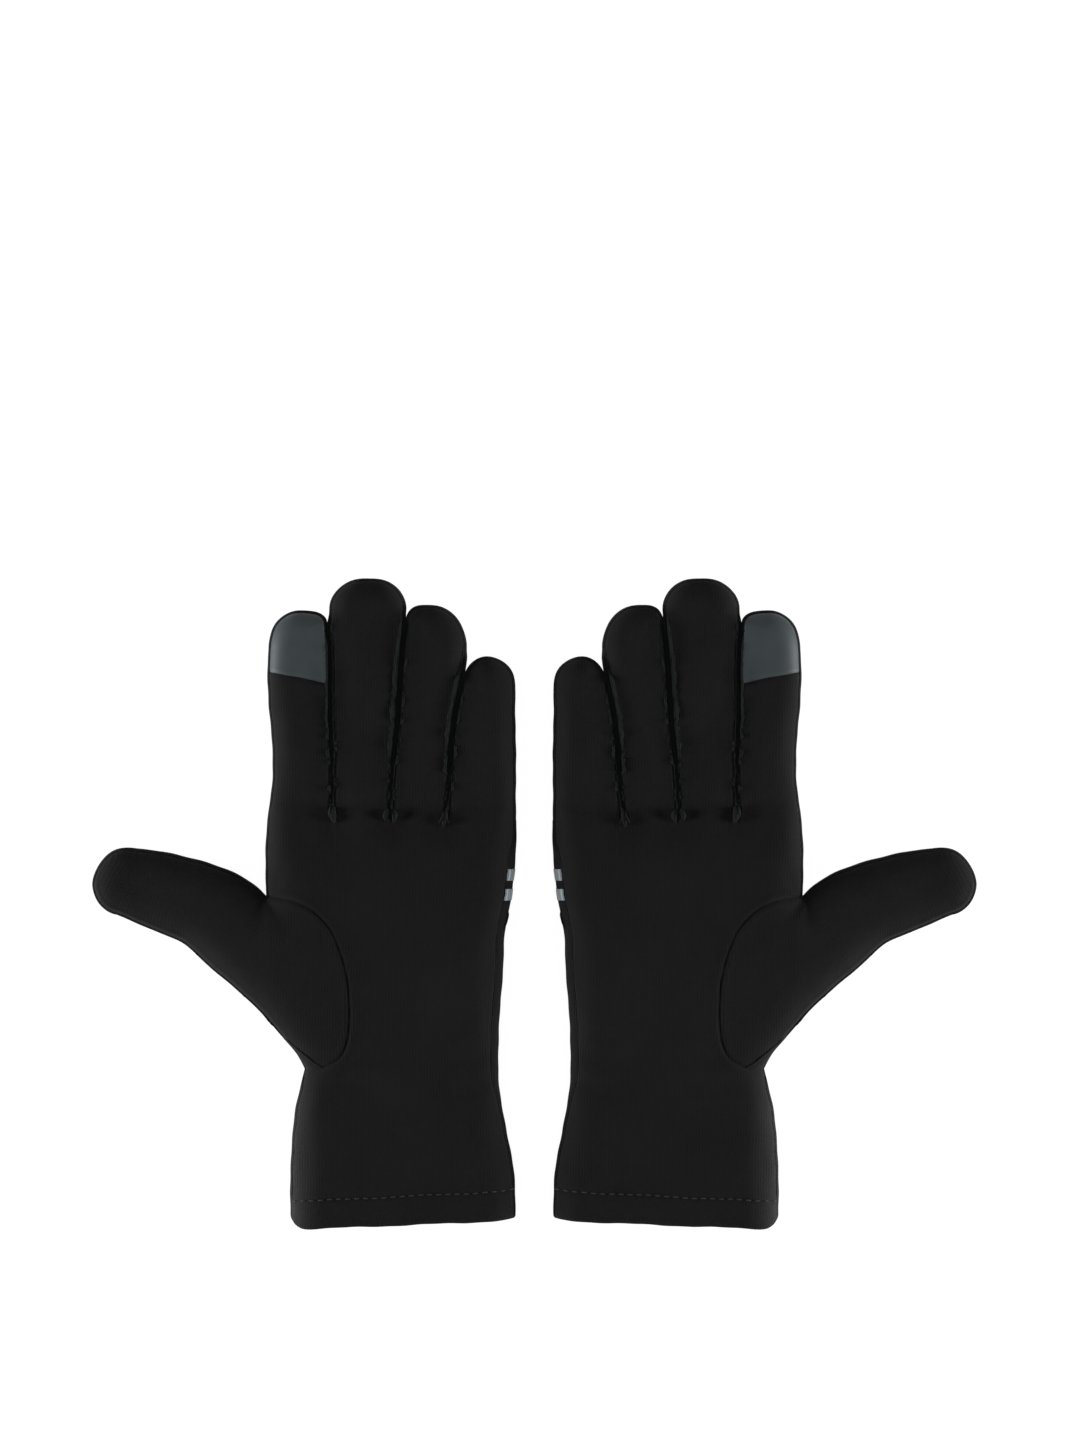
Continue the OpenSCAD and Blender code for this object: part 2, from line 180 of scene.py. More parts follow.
class Digit:
    """A finger or thumb: left(t) and right(t) are its edges from root, t = 0, to the start of its round
    end, t = 1. The end is two quarter superellipses |u|^p + |v|^p = 1 that meet level at the apex."""

    def __init__(self, left, right, apex, powers=(2.2, 2.2), out=(0.0, 1.0), strips=(0.0, 0.0)):
        self.edges, self.apex, self.powers = (left, right), np.array(apex), powers
        self.out = np.array(out) / np.linalg.norm(out)
        self.side = np.array([self.out[1], -self.out[0]])
        self.strips = strips  # width of the side strip seen from above on each edge, 0 for none

    def insets(self, t, inset):
        """The inset on the left and right edge. Beside a strip it is nothing at the fork, grows to the
        strip's full width, and comes back to the plain inset at the round end."""
        found = []
        for width in self.strips:
            grown = 0.5 + (width - 0.5) * smooth(0.1, 0.5, t)
            beside_strip = (grown + (1 - grown) * smooth(0.72, 1.0, t)) * smooth(0.0, 0.12, t)
            found.append(inset * beside_strip if width else inset + 0 * t)
        return found

    def chords(self, t):
        """The edges' points at t, and the unit vectors from left to right."""
        a, b = (edge(t) for edge in self.edges)
        return a, b, (b - a) / np.linalg.norm(b - a, axis=1)[:, None]

    def quarter(self, k, turn, inset):
        """One side of the round end for angles turn, drawn smaller by inset."""
        end = self.edges[k](1.0) - self.apex
        across, along, power = end @ self.side, -end @ self.out, 2 / self.powers[k]
        across -= math.copysign(inset, across)
        return (self.apex - along * self.out + np.cos(turn)[:, None] ** power * across * self.side
                + np.sin(turn)[:, None] ** power * (along - inset) * self.out)

    def grid(self, q, rows=DIGIT_ROWS, cap_rows=26, inset=0.0):
        """Points for columns q (-1 left to 1 right): `rows` chords between the edges, then the end."""
        t = row_share(rows)
        a, b, unit = self.chords(t)
        left, right = self.insets(t, inset)
        turn = np.radians(np.linspace(0, 87.5, cap_rows + 1)[1:])
        a = np.concatenate([a + unit * left[:, None], self.quarter(0, turn, inset)])
        b = np.concatenate([b - unit * right[:, None], self.quarter(1, turn, inset)])
        return a[:, None] + (b - a)[:, None] * ((1 + q) / 2)[None, :, None]


def beside(fork, points, shift):
    """A finger's edge from a fork through points, moved sideways by shift except at the fork."""
    shifted = [(x + shift * min(1.0, (y - fork[1]) / 12), y) for x, y in points]
    return path(tuple(fork), *shifted)


slits = [[(25.0, 168), (23.8, 183), (21.8, 199), (20.6, 204.5)],
         [(46.3, 170), (45.0, 184), (42.7, 212), (41.7, 228)],
         [(69.0, 175), (69.3, 200), (69.8, 218), (70.4, 227)]]
digits = {
    "little": Digit(path(tuple(ROOT_LITTLE), (0.0, 172), (0.0, 190), (0.1, 204.0)),
                    beside(FORKS[0], slits[0], -SLIT), (10.4, TIP_Y["little"]), (2.0, 2.0),
                    strips=(0, 1.0)),
    "ring": Digit(beside(FORKS[0], slits[0] + [(18.7, 214), (18.2, 219.0)], SLIT),
                  beside(FORKS[1], slits[1], -SLIT), (34.0, TIP_Y["ring"]), (2.1, 2.7),
                  strips=(2.0, 1.0)),
    "middle": Digit(beside(FORKS[1], slits[1] + [(41.2, 233)], SLIT),
                    beside(FORKS[2], slits[2] + [(70.4, 233)], -SLIT), (54.8, TIP_Y["middle"]),
                    (2.3, 2.2), strips=(2.2, 0.7)),
    "index": Digit(beside(FORKS[2], slits[2], SLIT),
                   path(tuple(ROOT_INDEX), (92.0, 168), (91.8, 183), (93.5, 199), (93.7, 211),
                        (93.1, 218)), (79.5, TIP_Y["index"]), (2.3, 2.3), strips=(1.3, 0)),
    "thumb": Digit(path(THUMB_FORK, (97.2, 128.8), (103.5, 133.0), (113, 136.7), (124, 139.8),
                        (134, 142.2), (143, 143.2)),
                   path(THUMB_HEEL, (97.1, 82), (106.5, 91), (117.0, 100), (125.2, 107.2), (137.6, 112.4),
                        (150.4, 118)), (THUMB_TIP_X - 0.4, 130.5), (2.1, 1.8), out=(0.982, 0.187)),
}
print("tips", {k: [round(float(v), 1) for v in d.apex] for k, d in digits.items()})

# %% [markdown]
# ## The whole outline as one line
# The cloth is thick in the middle of a panel and turns over towards an edge, so its height depends on
# the distance to the nearest edge. The distance is measured to one polyline that runs up the cuff,
# round every finger and the thumb, and back down the cuff. The open cuff end has no edge.

# %% Outline and distance
def rim_of(digit, n=90):
    """The digit's outline from its left root over the tip to its right root."""
    g = digit.grid(np.array([-1.0, 1.0]), rows=n)
    return np.concatenate([g[:, 0], g[::-1, 1]])


y_up = np.linspace(-25, ROOT_LITTLE[1], 120)
share = np.linspace(0, 1, 70)
outline = np.concatenate(
    [np.stack([little_side(y_up), y_up], 1)] + [rim_of(digits[f]) for f in FINGERS]
    + [index_side(share)[::-1], rim_of(digits["thumb"]), heel_edge(share[::2])[::-1],
       cuff_side(share)[::-1]])


def nearest(points, line):
    """Distance from each point to a polyline: the smallest distance to its straight pieces."""
    a, b = line[:-1], line[1:]
    keep = np.linalg.norm(b - a, axis=1) > 1e-6
    a, d = a[keep], (b - a)[keep]
    flat, out = points.reshape(-1, 2), []
    for chunk in np.array_split(flat, max(1, len(flat) // 4000)):
        r = chunk[:, None] - a
        s = np.clip((r * d).sum(-1) / (d * d).sum(-1), 0, 1)
        out.append(np.sqrt(((r - s[..., None] * d) ** 2).sum(-1).min(1)))
    return np.concatenate(out).reshape(points.shape[:-1])


print("outline", len(outline), "points")

# %% [markdown]
# ## The height of the cloth
# Seen from the side, a glove that lies empty is a soft cushion: flat below, where it rests on the
# table, and gently crowned above. Both sheets start from the side seam and rise as a superellipse of
# the distance to the edge. It could be sculpted by hand, but a function of the distance gives every
# finger the same soft shoulder.

# %% Height of the two sheets
SEAM_SHARE = 0.42   # height of the side seam as a share of the thickness
ROUNDNESS = 2.2
thickness_of_hand = through([-25, 0, 30, 59, 100, 135, 157, 175, 260],
                            [14.5, 14.5, 14.0, 14.5, 18.6, 17.4, 14.8, 14.2, 13.4])
WAVES = ((3.1, 41, 17, 0.0), (-1.7, 29, -23, 1.3), (2.3, -19, 31, 2.6), (0.9, 14, 47, 4.0))


def thumb_share(p):
    """0 on the hand, rising to 1 along the thumb from the fold at its root."""
    a, b = np.array(THUMB_FORK), np.array(THUMB_HEEL)
    out = np.array([a[1] - b[1], b[0] - a[0]]) / np.linalg.norm(a - b)
    past = (p - b) @ out
    return smooth(-8, 50, past) * smooth(60, 72, p[..., 1]) * (p[..., 0] > 60)


def thickness(p):
    """How thick the empty glove lies: along the hand, and evenly along the thumb."""
    t = thumb_share(p)
    return thickness_of_hand(p[..., 1]) * (1 - t) + 14.2 * t


slit_lines = [path(tuple(fork), *slit)(np.linspace(0, 1, 60)) for fork, slit in zip(FORKS, slits)]


def between_fingers(p):
    """1 at the slits between fingers, 0 a few millimetres away. Neighbouring fingers press together, so
    their cloth stays high there and turns down steeply."""
    return sum(np.exp(-((nearest(p, line) / 4.5) ** 2)) for line in slit_lines)


def seam_height(p):
    """Height of the side seam: less than half of the thickness, but high between two fingers, and a
    little higher at the thumb's fork, where the cloth is pulled tight."""
    tight = 0.22 * np.exp(-(((p - THUMB_FORK) ** 2).sum(-1) / 9.0**2))
    return thickness(p) * (SEAM_SHARE + 0.47 * between_fingers(p) + tight)


def rounding(p):
    """Distance from the edge over which the cloth turns over."""
    t = thumb_share(p)
    hand = 15.0 - 4.6 * smooth(135, 160, p[..., 1])
    return (hand - 6.2 * between_fingers(p)) * (1 - t) + 12.5 * t


def arch(d, radius):
    """A superellipse quarter: 0 at distance 0 from the edge, level at 1 from the radius on."""
    return (1 - (1 - np.clip(d / radius, 0, 1)) ** ROUNDNESS) ** (1 / ROUNDNESS)


print("side seam's height at the wrist", round(float(seam_height(np.array([[40.0, 59.0]]))[0]), 1))

# %% [markdown]
# ## Wrinkles and sunken seams
# Knit that lies empty gathers where it was pulled: across the wrist, at the fingers' roots and round
# each fork. These waves are short and fade out at the edges. A seam draws the cloth down along its
# line. Both could be a bump in the material, but as real shape they also show from the side.

# %% Wrinkles and seams
def wrinkles(p):
    """Waves in the loose cloth, in millimetres: gathers across the wrist, a crease above each finger's
    root, short rays round each fork, and a slow unevenness everywhere."""
    x, y = p[..., 0], p[..., 1]
    slow = sum(a * np.sin(x / b * 3 + y / c * 3 + e) for a, b, c, e in WAVES) * 0.07
    gather = 0.4 * np.sin(y / 1.9 + 1.4 * np.sin(x / 13) + 0.05 * x) * np.exp(-(((y - 61) / 9) ** 2))
    gather *= 0.55 + 0.45 * np.sin(x / 9 + 0.6)
    crease = -0.25 * np.exp(-(((y - FOLD_Y - 1.5 - 0.02 * x) / 2.4) ** 2)) * (x < 96)
    rays = 0
    for k, fork in enumerate([*FORKS, np.array(THUMB_FORK)]):
        size, count = (16, 7) if k == 3 else (8.5, 9)
        r = p - fork
        dist = np.hypot(r[..., 0], r[..., 1])
        angle = np.arctan2(r[..., 1], r[..., 0])
        fade = np.exp(-((dist / size) ** 2)) * smooth(0.5, 3.5, dist)
        rays = rays + 0.16 * np.sin(count * angle + 2 * k + 0.2 * dist) * fade
    return slow + gather + crease + rays


def seams(p, d):
    """Depth of the sunken seams: along the front panels' sewn edge, the thumb's seam and the hem. The
    sewn edge is deepest along the thumb's low side, and leaves the outline at the heel of the thumb."""
    x, y = p[..., 0], p[..., 1]
    low_side = smooth(0, 6, 98 + 0.53 * (x - 90) - y) * (x > 86)
    on_heel = smooth(79, 81, x) * (1 - smooth(86, 88, x)) * (y > 60) * (y < 75)
    sewn = 0.65 * np.exp(-(((d - side_inset(p) + 0.2) / 0.42) ** 2)) * (1 + 0.9 * low_side) * (1 - on_heel)
    sewn = sewn - 0.3 * low_side * np.exp(-(((d - 2.2) / 0.7) ** 2))
    away = nearest(p, thumb_seam(np.linspace(0, 1, 120)))
    pull = 0.7 + 0.3 * np.sin(y / 1.3 + 2 * np.sin(y / 4.1))
    thumb = 0.48 * pull * np.exp(-((away / 0.55) ** 2)) - 0.2 * np.exp(-(((away - 1.7) / 1.0) ** 2))
    hem = 0.55 * np.exp(-(((y - hem_line(x)) / 0.8) ** 2))
    return sewn, thumb, hem


def side_inset(p):
    """How far inside the outline the side seam lies: deeper along the little-finger edge of the hand,
    where the back of the glove comes round to the palm."""
    along = smooth(44, 62, p[..., 1]) * (1 - smooth(137, 150, p[..., 1]))
    return SEAM_INSET + 1.9 * along * (p[..., 0] < 30)


print("side seam's depth beside the palm", round(float(side_inset(np.array([[4.0, 100.0]]))[0]), 1))

# %% [markdown]
# ## The two sheets
# A flat glove is two sheets that meet at the side seam. Each is a height worked out from a place in
# plan, so two neighbouring pieces that ask for the same points agree along their shared edge.

# %% Upper and lower sheet
def upper(p):
    """Height of the palm-side sheet at points p."""
    d = nearest(p, outline)
    full, seam = thickness(p), seam_height(p)
    sewn, thumb, hem = seams(p, d)
    z = seam + (full - seam) * arch(d, rounding(p)) + wrinkles(p) * smooth(0.5, 7, d)
    return z - sewn * smooth(0.1, 0.6, d) - thumb * smooth(0.3, 2, d) - hem * smooth(0.3, 2, d)


def lower(p):
    """Height of the back-of-hand sheet: flat on the table away from its edges."""
    d = nearest(p, outline)
    seam = seam_height(p)
    hem = 0.4 * np.exp(-(((p[..., 1] - hem_line(p[..., 0])) / 0.8) ** 2)) * smooth(0.3, 2, d)
    lift = np.abs(wrinkles(p + 7.0)) * 0.35 * smooth(0.5, 7, d)
    return seam * (1 - arch(d, 10.0)) + hem + lift


def uneven(p):
    """A slow sideways wander of up to 0.23 mm each way: no sewn outline is a clean curve."""
    x, y = p[..., 0], p[..., 1]
    dx = 0.07 * np.sin(y / 1.7 + 1.1 * np.sin(x / 9)) + 0.16 * np.sin(y / 6.1 + x / 11 + 1)
    dy = 0.07 * np.sin(x / 1.8 + 1.2 * np.sin(y / 8)) + 0.16 * np.sin(x / 5.2 - y / 13 + 2)
    return np.stack([dx, dy, 0 * dx], -1)


def raised(p, height):
    """Points in space from points in plan and a height function."""
    return np.concatenate([p, height(p)[..., None]], -1)


middle_of_palm = np.array([[45.0, 105.0]])
print("middle of the palm, front and back:",
      [round(float(sheet(middle_of_palm)[0]), 2) for sheet in (upper, lower)])

# %% [markdown]
# ## Colours and shader nodes
# A colour is written as the eye would pick it, as an sRGB hex value, but a shader counts in linear
# light, so one function converts it. Nodes could be made one by one in the editor; here one function
# adds a node, sets it and links it in a single line.

# %% Colours and nodes
def linear(hex_colour):
    """The linear colour of an sRGB hex value such as #1a1a1a."""
    values = [int(hex_colour[k:k + 2], 16) / 255 for k in (1, 3, 5)]
    return (*[v / 12.92 if v <= 0.04045 else ((v + 0.055) / 1.055) ** 2.4 for v in values], 1.0)


def add(tree, kind, settings=None, **inputs):
    """Adds a node: settings are its properties, inputs its sockets, each given as a value or a link.
    A socket goes by its name, or by an underscore and its number."""
    node = tree.nodes.new(kind)
    for name, value in (settings or {}).items():
        setattr(node, name, value)
    for name, value in inputs.items():
        key = int(name[1:]) if name[0] == "_" and name[1:].isdigit() else name.replace("_", " ")
        if isinstance(value, bpy.types.NodeSocket):
            tree.links.new(value, node.inputs[key])
        else:
            node.inputs[key].default_value = value
    return node


def material(name):
    """An empty material with its Principled shader and tree."""
    m = bpy.data.materials.new(name)
    m.use_nodes = True
    m.node_tree.nodes.clear()
    shader = add(m.node_tree, "ShaderNodeBsdfPrincipled")
    add(m.node_tree, "ShaderNodeOutputMaterial", Surface=shader.outputs[0])
    return m, m.node_tree, shader


print("white is", linear("#ffffff"))


# %% [markdown]
# ## Knit cloth
# The gloves are jersey: rows of interlocked loops that show as narrow upright ribs of small Vs. The
# brushed yarn is a little fuzzy, so it is dull, and its edges catch light as a soft sheen. The Vs are
# a wave whose rows bend down towards the middle of each rib. Real loops are 0.7 mm wide, which is too
# fine to show, so they are drawn 1.1 mm wide.

# %% Knit material
LOOP = 1.1     # width of a drawn loop in mm
RELIEF = 0.16  # height of the loops in mm


def edge_sheen_mask(tree, place, fuzz):
    """1 where the cuff's outer edge gets a painted sheen, in specks: beyond 80 mm from the middle, below
    the wrist.
    """
    split = add(tree, "ShaderNodeSeparateXYZ", Vector=place)
    out = add(tree, "ShaderNodeMath", {"operation": "ABSOLUTE"}, _0=split.outputs[0])
    out = add(tree, "ShaderNodeMapRange", Value=out.outputs[0], From_Min=0.080, From_Max=0.090)
    low = add(tree, "ShaderNodeMapRange", Value=split.outputs[1], From_Min=-0.058, From_Max=-0.078)
    both = add(tree, "ShaderNodeMath", {"operation": "MULTIPLY"}, _0=out.outputs[0], _1=low.outputs[0])
    return add(tree, "ShaderNodeMath", {"operation": "MULTIPLY"}, _0=both.outputs[0], _1=fuzz).outputs[0]


def knit(name, colour, light):
    """Jersey: height = 0.4 sin(chevron) - 0.35 cos(rib). The UV map holds millimetres across and along
    the cloth. The height also picks the tone between the two colours, so the loops' roots are darker:
    painted shade in the knit's hollows, mixed with random tone from the fuzz and the patches."""
    m, tree, shader = material(name)
    uv = add(tree, "ShaderNodeUVMap", {"uv_map": "cloth"})
    split = add(tree, "ShaderNodeSeparateXYZ", Vector=uv.outputs[0])
    across = add(tree, "ShaderNodeMath", {"operation": "MULTIPLY"}, _0=split.outputs[0], _1=1 / LOOP)
    fold = add(tree, "ShaderNodeMath", {"operation": "PINGPONG"}, _0=across.outputs[0], _1=0.5)
    along = add(tree, "ShaderNodeMath", {"operation": "MULTIPLY"}, _0=split.outputs[1],
                _1=1 / (LOOP * 0.82))
    chevron = add(tree, "ShaderNodeMath", {"operation": "MULTIPLY_ADD"}, _0=fold.outputs[0], _1=1.5,
                  _2=along.outputs[0])
    turn = add(tree, "ShaderNodeMath", {"operation": "MULTIPLY"}, _0=chevron.outputs[0], _1=2 * math.pi)
    loops = add(tree, "ShaderNodeMath", {"operation": "SINE"}, _0=turn.outputs[0])
    rib_turn = add(tree, "ShaderNodeMath", {"operation": "MULTIPLY"}, _0=fold.outputs[0], _1=2 * math.pi)
    rib = add(tree, "ShaderNodeMath", {"operation": "COSINE"}, _0=rib_turn.outputs[0])
    rib_down = add(tree, "ShaderNodeMath", {"operation": "MULTIPLY"}, _0=rib.outputs[0], _1=-0.35)
    height = add(tree, "ShaderNodeMath", {"operation": "MULTIPLY_ADD"}, _0=loops.outputs[0], _1=0.4,
                 _2=rib_down.outputs[0])
    place = add(tree, "ShaderNodeTexCoord")
    fuzz = add(tree, "ShaderNodeTexNoise", Vector=place.outputs["Object"], Scale=1600.0, Detail=3.0,
               Roughness=0.65)
    patchy = add(tree, "ShaderNodeTexNoise", Vector=place.outputs["Object"], Scale=42.0, Detail=4.0,
                 Roughness=0.55)
    pile = add(tree, "ShaderNodeMath", {"operation": "MULTIPLY_ADD"}, _0=fuzz.outputs[0], _1=1.3,
               _2=height.outputs[0])
    # tone from the loops' height is painted shade in their roots; the fuzz and patches add random tone
    tone = add(tree, "ShaderNodeMapRange", Value=pile.outputs[0], From_Min=-0.6, From_Max=1.6)
    shade = add(tree, "ShaderNodeMath", {"operation": "MULTIPLY_ADD"}, _0=patchy.outputs[0], _1=0.55,
                _2=tone.outputs[0])
    ramp = add(tree, "ShaderNodeMix", {"data_type": "RGBA"}, Factor=shade.outputs[0], _6=linear(colour),
               _7=linear(light))
    # painted sheen: the cuff's outer edge drawn paler, in specks, where its fuzz catches the side light
    painted_sheen = add(tree, "ShaderNodeMix", {"data_type": "RGBA"}, _6=ramp.outputs[2], _7=linear("#3e3e3f"),
               Factor=edge_sheen_mask(tree, place.outputs[3], fuzz.outputs[0]))
    bump = add(tree, "ShaderNodeBump", Strength=0.55, Distance=RELIEF * MM, Height=pile.outputs[0])
    tree.links.new(painted_sheen.outputs[2], shader.inputs["Base Color"])
    tree.links.new(bump.outputs[0], shader.inputs["Normal"])
    shader.inputs["Roughness"].default_value = 0.92           # brushed yarn is dull
    shader.inputs["Specular IOR Level"].default_value = 0.06  # and hardly mirrors
    shader.inputs["Sheen Weight"].default_value = 0.1         # its fuzz shows at the edges
    shader.inputs["Sheen Roughness"].default_value = 0.45
    shader.inputs["Sheen Tint"].default_value = linear("#b8b8b8")
    return m


black_knit = knit("black_brushed_jersey", "#080809", "#242425")
strip_knit = knit("black_side_strip_jersey", "#080909", "#202222")
print("knit:", black_knit.name, strip_knit.name, "nodes in each", len(black_knit.node_tree.nodes))

# %% [markdown]
# ## Touch cloth, reflective film and thread
# The fingertip panel is cloth with a conductive coating: slate grey, smooth, with a satin shine and a
# very fine plain weave of 0.6 to 0.7 mm. The bars are a thin reflective film, pressed on, pale
# blue-grey. The thread is twisted polyester, slightly shinier than the knit. Film and thread need only
# a fine grain, so one function makes both.

# %% Other materials
def touch_cloth():
    """Coated plain weave: two fine waves across each other, with slow clouds of tone."""
    m, tree, shader = material("coated_conductive_weave")
    uv = add(tree, "ShaderNodeUVMap", {"uv_map": "cloth"})
    split = add(tree, "ShaderNodeSeparateXYZ", Vector=uv.outputs[0])
    waves = []
    for k, pitch in enumerate((0.62, 0.7)):
        turn = add(tree, "ShaderNodeMath", {"operation": "MULTIPLY"}, _0=split.outputs[k],
                   _1=2 * math.pi / pitch)
        waves.append(add(tree, "ShaderNodeMath", {"operation": "SINE"}, _0=turn.outputs[0]).outputs[0])
    weave = add(tree, "ShaderNodeMath", {"operation": "MULTIPLY"}, _0=waves[0], _1=waves[1])
    place = add(tree, "ShaderNodeTexCoord")
    cloud = add(tree, "ShaderNodeTexNoise", Vector=place.outputs["Object"], Scale=130.0, Detail=4.0)
    tone = add(tree, "ShaderNodeMath", {"operation": "MULTIPLY_ADD"}, _0=weave.outputs[0], _1=0.16,
               _2=cloud.outputs[0])
    mix = add(tree, "ShaderNodeMix", {"data_type": "RGBA"}, Factor=tone.outputs[0], _6=linear("#2e3538"),
              _7=linear("#3f474a"))
    bump = add(tree, "ShaderNodeBump", Strength=0.35, Distance=0.05 * MM, Height=weave.outputs[0])
    tree.links.new(mix.outputs[2], shader.inputs["Base Color"])
    tree.links.new(bump.outputs[0], shader.inputs["Normal"])
    shader.inputs["Roughness"].default_value = 0.52
    shader.inputs["Specular IOR Level"].default_value = 0.25
    shader.inputs["Sheen Weight"].default_value = 0.12
    return m


def plain(name, dark, pale, roughness, scale, depth, specular=0.4):
    """A finish with fine grain: noise between two tones, and a shallow bump from the same noise."""
    m, tree, shader = material(name)
    place = add(tree, "ShaderNodeTexCoord")
    grain = add(tree, "ShaderNodeTexNoise", Vector=place.outputs["Object"], Scale=scale, Detail=5.0)
    mix = add(tree, "ShaderNodeMix", {"data_type": "RGBA"}, Factor=grain.outputs[0], _6=linear(dark),
              _7=linear(pale))
    bump = add(tree, "ShaderNodeBump", Strength=0.4, Distance=depth * MM, Height=grain.outputs[0])
    tree.links.new(mix.outputs[2], shader.inputs["Base Color"])
    tree.links.new(bump.outputs[0], shader.inputs["Normal"])
    shader.inputs["Roughness"].default_value = roughness
    shader.inputs["Specular IOR Level"].default_value = specular
    return m


touch = touch_cloth()
film = plain("pressed_reflective_film", "#7c888f", "#9aa6ad", 0.42, 900.0, 0.03, 0.5)
thread = plain("twisted_polyester_thread", "#060606", "#121213", 0.6, 2500.0, 0.05)
print("materials", touch.name, film.name, thread.name)

# %% [markdown]
# ## From a grid to a piece
# A piece is one or more grids of points whose shared edges are merged. `Solidify` then gives the
# cloth its thickness on the inner side. The mesh is made for the right-hand glove and mirrored for the
# left one, with its faces turned round so that they still point outwards. A negative scale could mirror
# it too, but that would turn every normal inside out.

# %% Grid to mesh
SIDES = {"left": -1, "right": 1}


def sheet_faces(rows, cols, base=0, closed=False):
    """Quads of a grid of points, row by row. closed joins the last column to the first."""
    r = np.arange(rows - 1)[:, None] * cols
    c = np.arange(cols if closed else cols - 1)[None, :]
    n = (c + 1) % cols
    quads = np.stack([r + c, r + n, r + cols + n, r + cols + c], -1)
    return quads.reshape(-1, 4) + base


def cloth_map(grid, turn=0.0):
    """Millimetres across and along the cloth: arc length across each row, place along the grain."""
    step = np.linalg.norm(np.diff(grid, axis=1), axis=2)
    run = np.concatenate([np.zeros((len(grid), 1)), np.cumsum(step, 1)], 1)
    middle = grid.shape[1] // 2
    c, s = math.cos(turn), math.sin(turn)
    across = grid[..., 0] * c + grid[..., 1] * s
    along = -grid[..., 0] * s + grid[..., 1] * c
    return np.stack([across[:, middle:middle + 1] + run - run[:, middle:middle + 1], along], -1)


def piece(side, name, grids, finish, node=None, thick=FABRIC, turn=0.0, closed=False, slot="black_knit",
          offset=-1.0):
    """One piece of cloth from grids of points in glove millimetres, on the given side. node names the
    CAD nodes it stands for, turn the angle of the knit's grain, and thick = 0 leaves a closed skin."""
    flip = SIDES[side]
    points, faces, uvs, base = [], [], [], 0
    for grid in grids:
        points.append(grid.reshape(-1, 3))
        faces.append(sheet_faces(*grid.shape[:2], base, closed))
        uvs.append(cloth_map(grid, turn).reshape(-1, 2))
        base += len(points[-1])
    points, faces, uvs = np.concatenate(points), np.concatenate(faces), np.concatenate(uvs)
    points = (points + uneven(points) + ORIGIN) * MM * [flip, 1, 1]
    if flip < 0:
        faces = faces[:, ::-1]
    mesh = bpy.data.meshes.new(f"{side}_{name}")
    mesh.from_pydata(points.tolist(), [], faces.tolist())
    layer = mesh.uv_layers.new(name="cloth")
    layer.data.foreach_set("uv", uvs[faces.ravel()].ravel().astype(np.float32))
    obj = bpy.data.objects.new(f"{side}_{name}", mesh)
    bpy.context.scene.collection.objects.link(obj)
    work = bmesh.new()
    work.from_mesh(mesh)
    bmesh.ops.remove_doubles(work, verts=work.verts, dist=0.004 * MM)
    work.to_mesh(mesh)
    work.free()
    mesh.shade_smooth()
    keep_sharp(mesh)
    mesh.materials.append(finish)
    if thick:
        solid = obj.modifiers.new("cloth_thickness", "SOLIDIFY")
        solid.thickness, solid.offset = thick * MM, offset
    if node:
        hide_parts(*[f"{side}_{n}" for n in ([node] if isinstance(node, str) else node)])
    return obj


def keep_sharp(mesh):
    """Marks open edges sharp, so that the cut edge of the cloth doesn't darken its face."""
    count = np.zeros(len(mesh.edges), int)
    loops = np.zeros(len(mesh.loops), int)
    mesh.loops.foreach_get("edge_index", loops)
    np.add.at(count, loops, 1)
    sharp = mesh.attributes.get("sharp_edge") or mesh.attributes.new("sharp_edge", "BOOLEAN", "EDGE")
    sharp.data.foreach_set("value", count == 1)


# %% [markdown]
# ## The palm and back panels
# The palm panel is one sheet whose thumb-side edge follows the cuff, then the curved seam of the sewn-in
# thumb, then the index finger's side. Straight rows between the two edges fill it. Its top row has the
# same points as the roots of the four fingers, so that the cloth runs on without a step.

# %% Columns shared by the palm and the fingers
COLUMNS = 44
CUFF_ROWS, SEAM_ROWS, HEEL_ROWS, FOLD_ROWS, INDEX_ROWS = 46, 100, 12, 60, 40  # rows along each stretch
q = -np.cos(np.pi * np.arange(COLUMNS + 1) / COLUMNS)


def root_row(inset):
    """The points along the fingers' roots, in order from the little finger to the index finger."""
    rows = [digits[f].grid(q, rows=2, inset=inset)[0] for f in FINGERS]
    return np.concatenate([rows[0]] + [r[1:] for r in rows[1:]])


def hand_edges(front):
    """The two edges of a hand panel, bottom to top, as matching points."""
    low = np.array([hem_line(0.0), hem_line(85.0)])
    cuff_share = np.linspace(0, 1, 400)
    start = np.interp(low[1], cuff_side(cuff_share)[:, 1], cuff_share)
    right = [cuff_side(start + (1 - start) * np.linspace(0, 1, CUFF_ROWS))]
    if front:
        turn = np.linspace(0, np.pi, SEAM_ROWS)
        right.append(thumb_seam(0.2 - 0.2 * np.cos(turn) + 0.6 * turn / np.pi)[1:])
    else:
        right += [heel_edge(np.linspace(0, 1, HEEL_ROWS))[1:],
                  np.linspace(THUMB_HEEL, THUMB_FORK, FOLD_ROWS)[1:]]
    right.append(index_side(np.linspace(0, 1, INDEX_ROWS))[1:])
    bounds = [low[0], WRIST_CORNER[1], THUMB_FORK[1], ROOT_LITTLE[1]]
    counts = [CUFF_ROWS, SEAM_ROWS - 1 if front else HEEL_ROWS + FOLD_ROWS - 2, INDEX_ROWS - 1]
    spans = zip(bounds[:-1], bounds[1:], counts)
    left = np.concatenate([np.linspace(a, b, n + (k > 0)) for k, (a, b, n) in enumerate(spans)])
    right = np.concatenate(right)
    left = np.interp(np.linspace(0, 1, len(right)), np.linspace(0, 1, len(left)), left)
    return np.stack([little_side(left), left], 1), right


